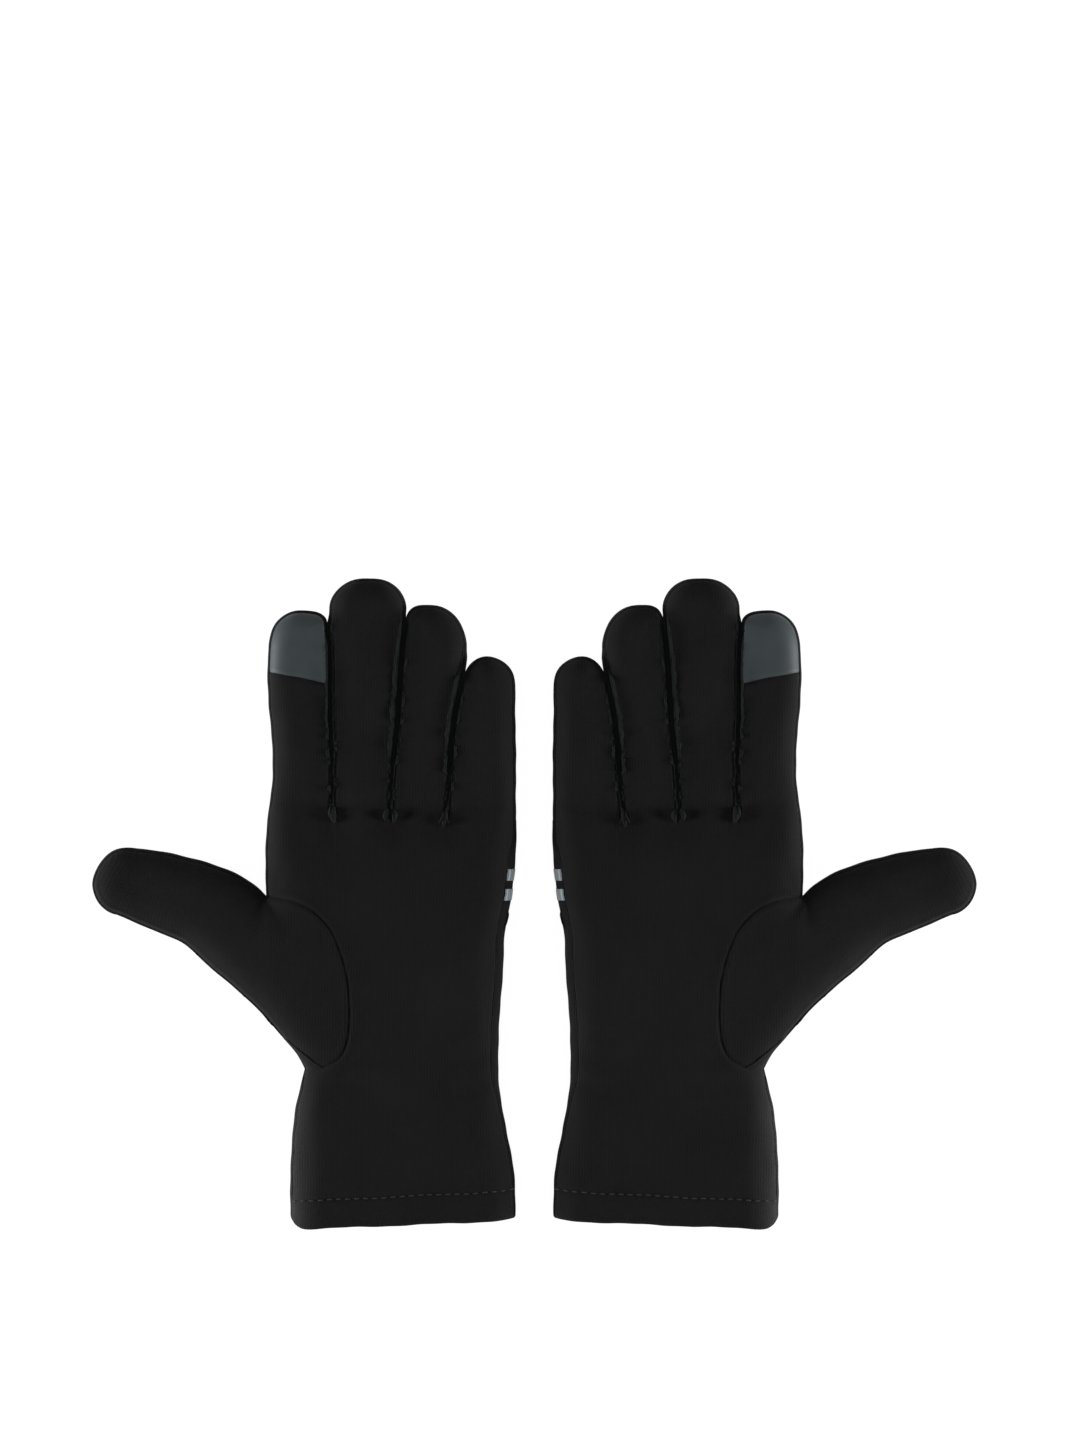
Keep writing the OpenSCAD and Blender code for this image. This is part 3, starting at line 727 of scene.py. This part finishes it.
def side_seams(left, right, front):
    """Insets of a front panel's two edges: the side seams, and none along the thumb's seam."""
    if not front:
        return np.zeros(len(left)), np.zeros(len(right))
    y = right[:, 1]
    sewn = (right[:, 0] > 78) & ((y < 60.5) | (y > 125.4))
    ramp = np.where(y < 90, 1 - smooth(52, 60, y), smooth(125.5, 133, y))
    return side_inset(left), SEAM_INSET * ramp * sewn


def hand_panel(front):
    """Plan points of the palm panel or the back panel: rows between the edges, fingers' columns."""
    left, right = hand_edges(front)
    inset_left, inset_right = side_seams(left, right, front)
    unit = (right - left) / np.linalg.norm(right - left, axis=1)[:, None]
    a, b = left + unit * inset_left[:, None], right - unit * inset_right[:, None]
    top = root_row(SEAM_INSET if front else 0.0)
    share = (top[:, 0] - top[0, 0]) / (top[-1, 0] - top[0, 0])
    grid = a[:, None] + (b - a)[:, None] * share[None, :, None]
    grid[-1] = top
    return grid, (left, a), (right, b)


def rim(outer, inner, steps=7):
    """The strip of the back panel that comes round the edge: from the outline to the sewn edge."""
    s = np.linspace(0, 1, steps)[None, :, None] ** 1.6
    return outer[:, None] + (inner - outer)[:, None] * s


palm_plan, palm_left, palm_right = hand_panel(True)
back_plan, _, _ = hand_panel(False)
print("palm grid", palm_plan.shape[:2], "back grid", back_plan.shape[:2])

# %% [markdown]
# ## Sheets from the plans
# Each point of a plan gets its height from the sheet that it belongs to. The back of the glove is the
# lower sheet, and it also comes round the edges as narrow rims that end at the sewn seam.

# %% Palm and back grids
palm_grid = raised(palm_plan, upper)
back_grid = raised(back_plan, lower)[:, ::-1]
left_rim = raised(rim(*palm_left), upper)
wrist_rim = raised(rim(palm_right[0][:CUFF_ROWS], palm_right[1][:CUFF_ROWS]), upper)[:, ::-1]
index_rim = raised(rim(palm_right[0][-INDEX_ROWS:], palm_right[1][-INDEX_ROWS:]), upper)[:, ::-1]
print("palm is highest at", round(float(palm_grid[..., 2].max()), 1))

# %% [markdown]
# ## The fingers
# A finger has a front and a back of knit. Where two fingers face each other, a narrow side strip runs
# between front and back, from the fork to near the tip. Elsewhere the back comes round the edge and
# is sewn to the front. The grey panel takes the place of the front at the tip of the index finger.

# %% Finger grids
STRIP_END = 0.86  # the side strip tapers away from here to the start of the round end
BULGE = 0.7       # how far a side strip bulges towards the next finger


def strip_inset(t):
    """Depth of the seam between side strip and back: nothing at the fork and at the strip's end."""
    return 1.1 * smooth(0.0, 0.12, t) * (1 - smooth(STRIP_END, 1.0, t))


def finger_back(digit):
    """The lower sheet, narrower where side strips take its edges, and the rim round the outer edges."""
    plan = digit.grid(q)
    t = row_share(DIGIT_ROWS)
    _, _, unit = digit.chords(t)
    for k, strip in enumerate(digit.strips):
        if strip:
            shift = unit * strip_inset(t)[:, None] * (1 if k == 0 else -1)
            weight = (1 - q) / 2 if k == 0 else (1 + q) / 2
            plan[:len(t)] += shift[:, None] * weight[None, :, None]
    grids = [raised(plan, lower)[:, ::-1]]
    outer, inner = digit.grid(q), digit.grid(q, inset=SEAM_INSET)
    for column, strip in zip((0, -1), digit.strips):
        start = len(t) - 1 if strip else 0
        edge = raised(rim(outer[start:, column], inner[start:, column]), upper)
        grids.append(edge[:, ::-1] if column else edge)
    return [*grids, raised(rim(outer[-1], inner[-1]), upper)]


def side_strip(digit, k):
    """The side strip on the left (0) or right (1) edge: from the front's sewn edge, round the side, to
    the back's sewn edge. It bulges low on a left edge and high on a right edge, so that neighbouring
    fingers nest and no gap shows between them."""
    t = row_share(DIGIT_ROWS)
    a, b, unit = digit.chords(t)
    edge, inward = (a, unit) if k == 0 else (b, -unit)
    s = np.linspace(1, 0, 9) ** 1.6
    over = edge[:, None] + inward[:, None] * (digit.insets(t, SEAM_INSET)[k][:, None] * s)[..., None]
    under = edge[:, None] + inward[:, None] * (strip_inset(t)[:, None] * s[::-1][1:])[..., None]
    grid = np.concatenate([raised(over, upper), raised(under, lower)], 1)
    place = np.linspace(-1, 1, grid.shape[1])
    bulge = BULGE * np.exp(-(((place - (0.42 if k == 0 else -0.42)) / 0.36) ** 2))
    fade = smooth(-0.01, 0.06, t) * (1 - smooth(0.93, 1.0, t))
    grid[..., :2] -= inward[:, None] * (fade[:, None] * bulge * (1 - np.abs(place) ** 6))[..., None]
    return grid[:, ::-1] if k == 0 else grid


# %% [markdown]
# ## What each piece rides on
# The palm stays still while a finger bends, but the cloth isn't cut at the finger's root. The palm's
# pieces ride on the palm. A finger's pieces are baked in place and ride on no body; the short stretch
# past its root, where they would turn from the palm to the finger, is worked out but not used. With a
# stiff split there, the cloth would tear open as soon as the finger moves.

# %% Bodies
def hold(side, obj, body, other=None):
    """Makes obj ride on one body of this glove. Given other, a digit, it works out the stretch from the
    palm into that digit, which is not used, and only bakes obj's transform into its mesh.
    """
    if other is None:
        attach(obj, f"{side}_{body}")
        return
    start, end = blend_line(other)
    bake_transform(obj)


def blend_line(digit):
    """Two points that mark a short stretch from the palm's edge into the digit, past its root."""
    if digit == "thumb":
        fork, heel = np.array(THUMB_FORK), np.array(THUMB_HEEL)
        out = np.array([fork[1] - heel[1], heel[0] - fork[0]]) / np.linalg.norm(fork - heel)
        middle = (fork + heel) / 2
        return middle + out * 0.2, middle + out * 17
    right = digits[digit].edges[1](0.0)
    return np.array([right[0], right[1] + 0.1]), np.array([right[0], right[1] + 13])


print("index finger's pieces turn over", [p.round(1).tolist() for p in blend_line("index")])

# %% [markdown]
# ## The grey fingertip panel
# The touch cloth is sewn in as the top of the index finger's front, with a slanted lower seam. The
# front's grid is cut along that slant, so that both pieces share the seam's points. A separate patch
# laid on top would be simpler, but it would stand up from the knit.

# %% Grey panel and finger fronts
PANEL_LOW = (205.2, 209.6)  # the panel's lower edge, at its left and right end


def split_rows(grid, low, rows=52):
    """Cuts a finger's front along a slanted line: two grids that share the cut."""
    edge = low[0] + (low[1] - low[0]) * (1 + q) / 2
    cut = np.array([np.interp(e, y, np.arange(len(grid))) for e, y in zip(edge, grid[:, :, 1].T)])
    columns = np.arange(grid.shape[1])[None, :]

    def between(start, end):
        """Rows of points evenly from one fractional row of each column to another."""
        at = start + (end - start) * np.linspace(0, 1, rows)[:, None]
        k = np.clip(at.astype(int), 0, len(grid) - 2)
        f = (at - k)[..., None]
        return grid[k, columns] * (1 - f) + grid[k + 1, columns] * f

    return between(np.zeros_like(cut), cut), between(cut, np.full_like(cut, len(grid) - 1.0))


below_plan, patch_plan = split_rows(digits["index"].grid(q, inset=SEAM_INSET), PANEL_LOW)


def patch_height(p):
    """The index finger's front: sunken along the lower edge of the grey panel."""
    low = np.interp(p[..., 0], [70.2, 93.8], PANEL_LOW)
    return upper(p) - 0.45 * np.exp(-(((p[..., 1] - low) / 0.6) ** 2))


patch_grid, below_patch = raised(patch_plan, patch_height), raised(below_plan, patch_height)
finger_grids = {}
for f in FINGERS:
    fronts = [below_patch] if f == "index" else [raised(digits[f].grid(q, inset=SEAM_INSET), upper)]
    strips = [side_strip(digits[f], k) for k in (0, 1) if digits[f].strips[k]]
    finger_grids[f] = (fronts, finger_back(digits[f]), strips)
print("side strips", {f: len(grids[2]) for f, grids in finger_grids.items()})

# %% [markdown]
# ## The thumb
# The thumb is its own piece of cloth. It reaches into the palm inside the curved seam, and its straight
# rows fan out from the fold at its root. Its back starts at the same fold.

# %% Thumb grids
thumb_outer, thumb_sewn = digits["thumb"].grid(q), digits["thumb"].grid(q, inset=SEAM_INSET)
grow = np.ones(len(thumb_outer))  # the side seams run out to nothing at the thumb's fork and heel
grow[:DIGIT_ROWS] = smooth(0.0, 0.1, row_share(DIGIT_ROWS))
thumb_plan = thumb_outer + (thumb_sewn - thumb_outer) * grow[:, None, None]
thumb_front = raised(thumb_plan, upper)
thumb_back = [raised(thumb_outer, lower)[:, ::-1],
              raised(rim(thumb_outer[:, 0], thumb_plan[:, 0]), upper),
              raised(rim(thumb_outer[:, -1], thumb_plan[:, -1]), upper)[:, ::-1],
              raised(rim(thumb_outer[-1], thumb_plan[-1]), upper)]


def gusset_plan(n=110):
    """The part of the thumb piece inside the palm: rows from the curved seam to the fold and heel."""
    s = 0.5 - 0.5 * np.cos(np.linspace(0.12, np.pi - 0.12, n))  # the ends stop short of a point
    seam = thumb_seam(s)
    fold = np.concatenate([heel_edge(np.linspace(0, 1, 24)), np.linspace(THUMB_HEEL, THUMB_FORK, 87)[1:]])
    run = np.concatenate([[0], np.cumsum(np.linalg.norm(np.diff(fold, axis=0), axis=1))])
    at = np.interp(seam[:, 1], [seam[:, 1].min(), THUMB_FORK[1]], [0, 1])
    at = np.maximum.accumulate(0.35 * s + 0.65 * at)
    right = np.stack([np.interp(at * run[-1] / at[-1], run, fold[:, k]) for k in (0, 1)], 1)
    return seam[:, None] + (right - seam)[:, None] * ((1 + q) / 2)[None, :, None]


gusset_grid = raised(gusset_plan(), upper)
print("thumb rows", len(thumb_front), "gusset rows", len(gusset_grid))

# %% [markdown]
# ## The cuff hem
# The cuff's edge is folded inside and stitched down, so it is two layers thick with a rounded edge. It
# is a profile (outside, round the fold, inside) carried round the cuff's mouth.

# %% Hem
HEM_FOLD = 1.15  # half of the two layers


def hem_grid():
    """Columns go round the mouth, rows down the outside, round the fold and up the inside."""
    across = -np.cos(np.linspace(0, np.pi, 90))
    y_rows = np.linspace(1, 0, 16)

    def ring(y_share, depth, drop):
        """Closed cross-section: over the top sheet and back under the lower one."""
        loops = []
        for height, order in ((upper, 1), (lower, -1)):
            x0, x1 = little_side(np.array(10.0)), 85.3
            x = x0 + (x1 - x0) * (1 + across) / 2
            low = cuff_edge(x) + HEM_FOLD
            y = low + (hem_line(x) - low) * y_share - drop
            left, right = little_side(y), np.interp(y, cuff_side(share)[:, 1], cuff_side(share)[:, 0])
            x = left + (right - left) * (1 + across) / 2
            p = np.stack([x, y], 1)
            loops.append(raised(p, height)[::order])
        loop = np.concatenate([loops[0], loops[1][1:-1]])
        ahead, behind = np.roll(loop, -1, 0), np.roll(loop, 1, 0)
        along = (ahead - behind)[:, [0, 2]]
        normal = np.stack([along[:, 1], -along[:, 0]], 1) / np.linalg.norm(along, axis=1)[:, None]
        loop[:, [0, 2]] += normal * depth
        return loop

    rows = [ring(s, 0.0, 0.0) for s in y_rows]
    for turn in np.radians(np.linspace(0, 180, 9))[1:-1]:
        rows.append(ring(0.0, HEM_FOLD * (1 - math.cos(turn)), HEM_FOLD * math.sin(turn)))
    rows += [ring(s, 2 * HEM_FOLD, 0.0) for s in y_rows[::-1]]
    return np.array(rows)[::-1]


hem = hem_grid()
print("hem grid", hem.shape)

# %% [markdown]
# ## Stitches, ridges and tucks
# Thread and raw seams are what the eye follows on black cloth. The hem is held by a row of stitches.
# The seams of the side strips stand up as thin uneven ridges, raggedest near the forks, and each fork
# ends in a small tuck where the ridges meet.

# %% Tubes and ridges
def tube(centre, radius, sides=8):
    """A tube along centre points: a circle in the plane square to the path, closed at both ends."""
    along = np.gradient(centre, axis=0)
    along /= np.linalg.norm(along, axis=1)[:, None]
    side = np.cross(along, [0, 0, 1.0])
    side /= np.linalg.norm(side, axis=1)[:, None]
    up = np.cross(side, along)
    a = np.linspace(0, 2 * np.pi, sides, endpoint=False)
    ring = np.cos(a)[None, :, None] * side[:, None] + np.sin(a)[None, :, None] * up[:, None]
    return centre[:, None] + ring * np.broadcast_to(radius, len(centre))[:, None, None]


def ridge(digit, k, seed):
    """The raised seam between a finger's front and its side strip: a thin tube that wavers."""
    t = np.linspace(0.0, 0.985, 240)
    a, b, unit = digit.chords(t)
    inset = digit.insets(t, SEAM_INSET)[k][:, None] + 0.15
    p = a + unit * inset if k == 0 else b - unit * inset
    run = t * np.linalg.norm(a[-1] - a[0])
    ragged = 0.18 + 0.34 * (1 - smooth(0.3, 0.8, t))
    noise = np.random.default_rng(seed)
    waver = sum(np.sin(run * w + f) * g for w, f, g in
                zip((0.43, 0.97, 1.9, 3.3, 4.9), noise.uniform(0, 6, 5), (0.5, 0.45, 0.4, 0.25, 0.15)))
    lift = sum(np.sin(run * w + f) * g for w, f, g in
               zip((0.6, 1.3, 2.7, 4.1), noise.uniform(0, 6, 4), (0.5, 0.4, 0.3, 0.2)))
    p = p + unit * (waver * ragged * 0.75)[:, None] * (1 if k == 0 else -1)
    centre = raised(p, upper)
    centre[:, 2] += 0.1 + ragged * lift * 0.8
    radius = (0.42 + 0.3 * ragged * waver) * smooth(-0.06, 0.02, t) * (1 - 0.75 * smooth(0.9, 0.985, t))
    return tube(centre, radius)


def seam_cord(p, seed, radius=0.3):
    """The sewn edge of a front panel along an outer edge: a thin cord of cloth with small waves."""
    run = np.concatenate([[0], np.cumsum(np.linalg.norm(np.diff(p, axis=0), axis=1))])
    even = np.linspace(0, run[-1], int(run[-1] / 0.55))
    p = np.stack([np.interp(even, run, p[:, k]) for k in (0, 1)], 1)
    noise = np.random.default_rng(seed)
    wave = sum(np.sin(even * w + f) * g for w, f, g in
               zip((0.5, 1.3, 2.9), noise.uniform(0, 6, 3), (0.5, 0.35, 0.25)))
    along = np.gradient(p, axis=0)
    square = np.stack([-along[:, 1], along[:, 0]], 1) / np.linalg.norm(along, axis=1)[:, None]
    centre = raised(p + square * (0.12 * wave)[:, None], upper)
    centre[:, 2] += 0.1 + 0.06 * wave
    return tube(centre, radius * (1 + 0.25 * wave) * smooth(-0.5, 2, np.minimum(even, even[-1] - even)))


# %% [markdown]
# ## Tucks and stitches
# At each fork the side strips' seams end in a little gathered cloth, and the hem's thread shows as
# short stitches. Both are a handful of tapered tubes, each shaped by one sine.

# %% Tucks and stitches
STITCH_LENGTH = 2.1


def fork_tuck(fork, seed):
    """The end of the side strips' seams below a fork: three soft lobes of gathered cloth."""
    noise = np.random.default_rng(seed)
    lobes = []
    for k in range(3):
        s = np.linspace(0, 1, 18)
        angle = math.radians(noise.uniform(-14, 14) - 90 + (k - 1) * 16)
        length, bend = noise.uniform(3.2, 5.4), noise.uniform(-0.5, 0.5)
        start = np.array(fork) + [0.7 * (k - 1), 2.6 - 0.8 * (k == 1)]
        p = start + length * s[:, None] * [math.cos(angle), math.sin(angle)]
        p = p + (bend * np.sin(np.pi * s) * 2)[:, None] * [-math.sin(angle), math.cos(angle)]
        centre = raised(p, upper)
        centre[:, 2] += 0.25 + 0.6 * np.sin(np.pi * s)
        lobes.append(tube(centre, 0.16 + noise.uniform(0.6, 1.0) * np.sin(np.pi * (0.08 + 0.88 * s))))
    return lobes


def stitches(height, lift, count=25):
    """A row of short threads on the hem line: slim spindles that dive into the cloth at both ends."""
    x = np.linspace(1.6, 83.4, count)
    s = np.linspace(0, 1, 7)
    found = []
    for middle in x:
        along = middle + (s - 0.5) * STITCH_LENGTH
        p = np.stack([along, hem_line(along)], 1)
        centre = raised(p, height)
        centre[:, 2] += lift * (0.3 * np.sin(np.pi * s) + 0.12)
        found.append(tube(centre, 0.08 + 0.2 * np.sin(np.pi * s), 6))
    return found


# %% [markdown]
# ## Reflective bars
# Two bars of film run across the back of the hand and come round the little-finger edge, as far as the
# side seam. Each is a strip that follows the lower sheet, the edge and the rim, a hair above the cloth.

# %% Bars
BAR_WIDTH, BAR_LOWS, BAR_ON_BACK, FILM = 4.3, (123.8, 131.3), 38.0, 0.22


def bar(low):
    """Rows along the bar's width, columns from the middle of the back, round the edge, to the seam."""
    y = np.linspace(low, low + BAR_WIDTH, 9)
    edge = little_side(y)
    inset = side_inset(np.stack([edge, y], 1)) - 0.15
    inwards, round_edge = np.linspace(1, 0, 46)[:-1] ** 2, np.linspace(0, 1, 12) ** 1.5

    def strip(x, height):
        """Points at x in plan, one row for each y, raised to a sheet."""
        return raised(np.stack([x, np.repeat(y[:, None], x.shape[1], 1)], -1), height)

    return np.concatenate([strip(edge[:, None] + BAR_ON_BACK * inwards, lower),
                           strip(edge[:, None] + inset[:, None] * round_edge, upper)], 1)


bar_grids = [bar(low) for low in BAR_LOWS]
print("bars", [g.shape for g in bar_grids])

# %% [markdown]
# ## Putting both gloves together
# Each piece is made for both sides and stands for its CAD node. The palm's pieces ride on the palm.
# Finger and thumb pieces start at the palm's edge; they are baked in place and ride on no body.

# %% Make the pieces
def closed_tubes(side, name, tubes, finish, **kind):
    """Joins tubes, each a closed ring grid, into one piece and caps their ends."""
    obj = piece(side, name, tubes, finish, thick=0, closed=True, **kind)
    work = bmesh.new()
    work.from_mesh(obj.data)
    bmesh.ops.holes_fill(work, edges=[e for e in work.edges if e.is_boundary], sides=0)
    bmesh.ops.recalc_face_normals(work, faces=work.faces)
    work.to_mesh(obj.data)
    work.free()
    obj.data.shade_smooth()
    return obj


def tip_seam(digit):
    """Where the front's sewn edge runs round a digit's end and down its outer edges."""
    edge = digit.grid(np.array([-1.0, 1.0]), inset=SEAM_INSET)
    start = [int(0.97 * DIGIT_ROWS) if strip else 0 for strip in digit.strips]
    return np.concatenate([edge[start[0]:, 0], edge[:start[1]:-1, 1]])


loose_fold = path((3.1, 120.6), (2.9, 118.2), (3.5, 116.0), (4.4, 113.2))  # below the lower bar
palm_cords = [seam_cord(palm_left[1][palm_left[1][:, 1] > hem_line(0)], 3),
              seam_cord(palm_right[1][:CUFF_ROWS - 2], 4), seam_cord(palm_right[1][2 - INDEX_ROWS:], 5),
              seam_cord(loose_fold(np.linspace(0, 1, 30)), 6, 0.6)]
# the heel's seam cord wears the slightly darker side-strip knit: painted shade, so the seam reads as a dark
# line
heel_cord = [seam_cord(heel_seam(np.linspace(0, 1, 40)), 7, 0.36)]
for side in SIDES:
    hold(side, closed_tubes(side, "palm_seam_cords", palm_cords, black_knit), "palm")
    hold(side, closed_tubes(side, "heel_seam_cord", heel_cord, strip_knit, slot="side_strip_knit"), "palm")
    hold(side, piece(side, "palm_knit", [palm_grid], black_knit, "palm_panel"), "palm")
    hold(side, piece(side, "back_knit", [back_grid, left_rim, wrist_rim, index_rim], black_knit,
                     "back_panel"), "palm")
    hold(side, piece(side, "thumb_gusset_knit", [gusset_grid], black_knit, "thumb_gusset"), "palm")
    hold(side, piece(side, "cuff_hem_knit", [hem], black_knit, "cuff_hem", thick=0, closed=True,
                     slot="hem_knit"), "palm")
    hold(side, piece(side, "bars_of_film", bar_grids, film, "reflective_bars", thick=FILM,
                     slot="reflective_film", offset=1.0), "palm")
    tucks = [lobe for k, fork in enumerate(FORKS) for lobe in fork_tuck(fork, 40 + k)]
    hold(side, closed_tubes(side, "fork_tucks", tucks, strip_knit, node="crotch_gussets",
                            slot="side_strip_knit"), "palm")
    threads = stitches(upper, 1.0) + stitches(lower, -1.0)
    hold(side, closed_tubes(side, "hem_stitches", threads, thread, slot="hem_knit"), "palm")
    for name, grids in (("thumb_front", [thumb_front]), ("thumb_back", thumb_back)):
        hold(side, piece(side, f"{name}_knit", grids, black_knit, name, turn=0.35), "palm", "thumb")
    for n, f in enumerate(digits):
        cord = [seam_cord(tip_seam(digits[f]), 20 + n, 0.38 if f == "thumb" else 0.32)]
        hold(side, closed_tubes(side, f"{f}_seam_cord", cord, black_knit), "palm", f)
    for f in FINGERS:
        fronts, backs, strips = finger_grids[f]
        hold(side, piece(side, f"{f}_front_knit", fronts, black_knit, f"{f}_front"), "palm", f)
        hold(side, piece(side, f"{f}_back_knit", backs, black_knit, f"{f}_back"), "palm", f)
        node = f"{f}_fourchettes" if len(strips) > 1 else f"{f}_fourchette"
        hold(side, piece(side, f"{f}_side_strips", strips, strip_knit, node, slot="side_strip_knit"),
             "palm", f)
        ridges = [ridge(digits[f], k, 10 * k + len(f)) for k in (0, 1) if digits[f].strips[k]]
        hold(side, closed_tubes(side, f"{f}_seam_ridges", ridges, strip_knit, slot="side_strip_knit"),
             "palm", f)
    hold(side, piece(side, "index_touch_cloth", [patch_grid], touch, "index_touch_tip", slot="touch_cloth"),
         "palm", "index")

# %% [markdown]
# ## Table, light and camera
# The gloves lie on a plain white table, seen from straight above through a long lens. Broad soft lamps
# stand to the left and right and overhead, so the black cloth keeps its shape: its outer edges catch
# the light from the sides.

# %% Table
def seen_rays(tree):
    """1 for a ray from the camera, or one that is mirrored or let through on its way, else 0."""
    rays = add(tree, "ShaderNodeLightPath")
    seen = add(tree, "ShaderNodeMath", {"operation": "MAXIMUM"}, _0=rays.outputs["Is Camera Ray"],
               _1=rays.outputs["Is Glossy Ray"])
    seen = add(tree, "ShaderNodeMath", {"operation": "MAXIMUM"}, _0=seen.outputs[0],
               _1=rays.outputs["Is Transmission Ray"])
    return seen.outputs[0]


def table_top():
    """A white sheet that the camera sees as near white, with the gloves' soft shadow on it."""
    mesh = bpy.data.meshes.new("table_top")
    size, low = 30.0, -0.0004
    mesh.from_pydata([(-size, -size, low), (size, -size, low), (size, size, low), (-size, size, low)], [],
                     [(0, 1, 2, 3)])
    obj = bpy.data.objects.new("table_top", mesh)
    bpy.context.scene.collection.objects.link(obj)
    m, tree, shader = material("white_table")
    shader.inputs["Base Color"].default_value = linear("#f4f4f4")
    shader.inputs["Roughness"].default_value = 0.9
    glow = add(tree, "ShaderNodeEmission", Color=(1, 1, 1, 1), Strength=1.22)
    part = add(tree, "ShaderNodeMath", {"operation": "MULTIPLY"}, _0=seen_rays(tree), _1=0.8)
    mix = add(tree, "ShaderNodeMixShader", _0=part.outputs[0], _1=shader.outputs[0], _2=glow.outputs[0])
    out = [n for n in tree.nodes if n.type == "OUTPUT_MATERIAL"][0]
    tree.links.new(mix.outputs[0], out.inputs[0])
    mesh.materials.append(m)


table_top()


# %% [markdown]
# ## Lamps
# Two low lamps stand far to the left and right, like windows, and rake across the cloth, so its outer
# edges are lit and its seams cast soft shadows. One weak lamp overhead keeps the middle from going
# black. The room is dim on the gloves, but looks white to the camera.

# %% Lamps and world
def lamp(name, place, aim, size, power):
    """A square soft lamp at place that points at aim."""
    data = bpy.data.lights.new(name, "AREA")
    data.shape, data.size, data.energy = "SQUARE", size, power
    obj = bpy.data.objects.new(name, data)
    bpy.context.scene.collection.objects.link(obj)
    obj.location = place
    towards = np.array(aim) - np.array(place)
    yaw = math.atan2(towards[1], towards[0])
    tilt = math.atan2(math.hypot(towards[0], towards[1]), -towards[2])
    obj.rotation_euler = (tilt, 0, yaw - math.pi / 2)


lamp("left_window", (-1.4, -0.15, 0.21), (-0.1, 0, 0), 0.4, 26)
lamp("right_window", (1.4, -0.15, 0.21), (0.1, 0, 0), 0.4, 26)
lamp("overhead", (0, 0.35, 1.9), (0, 0.05, 0), 1.4, 2.5)
world = bpy.data.worlds.new("soft_room")
bpy.context.scene.world = world
world.use_nodes = True
background = world.node_tree.nodes["Background"]
background.inputs["Color"].default_value = (1, 1, 1, 1)
# the room is dim, but it looks white to the camera and in reflections
strength = add(world.node_tree, "ShaderNodeMapRange", Value=seen_rays(world.node_tree), To_Min=0.09,
               To_Max=1.0)
world.node_tree.links.new(strength.outputs[0], background.inputs["Strength"])

# %% [markdown]
# ## Camera
# A long lens straight above shows the gloves almost without perspective, as on a copying stand. Its
# height follows from the length of table that it has to take in.

# %% Camera
VIEW_CENTRE = (0.0021, 0.069)   # the middle of the view on the table
VIEW_LENGTH = 0.543             # how much of the table the view's long side takes in
eye = bpy.data.cameras.new("above")
eye.lens, eye.sensor_width, eye.sensor_fit = 100.0, 36.0, "AUTO"
above = bpy.data.objects.new("above", eye)
bpy.context.scene.collection.objects.link(above)
above.location = (*VIEW_CENTRE, VIEW_LENGTH * eye.lens / eye.sensor_width + 0.006)
bpy.context.scene.camera = above
bpy.context.scene.view_settings.view_transform = "Standard"
print("cameras", len(bpy.data.cameras))
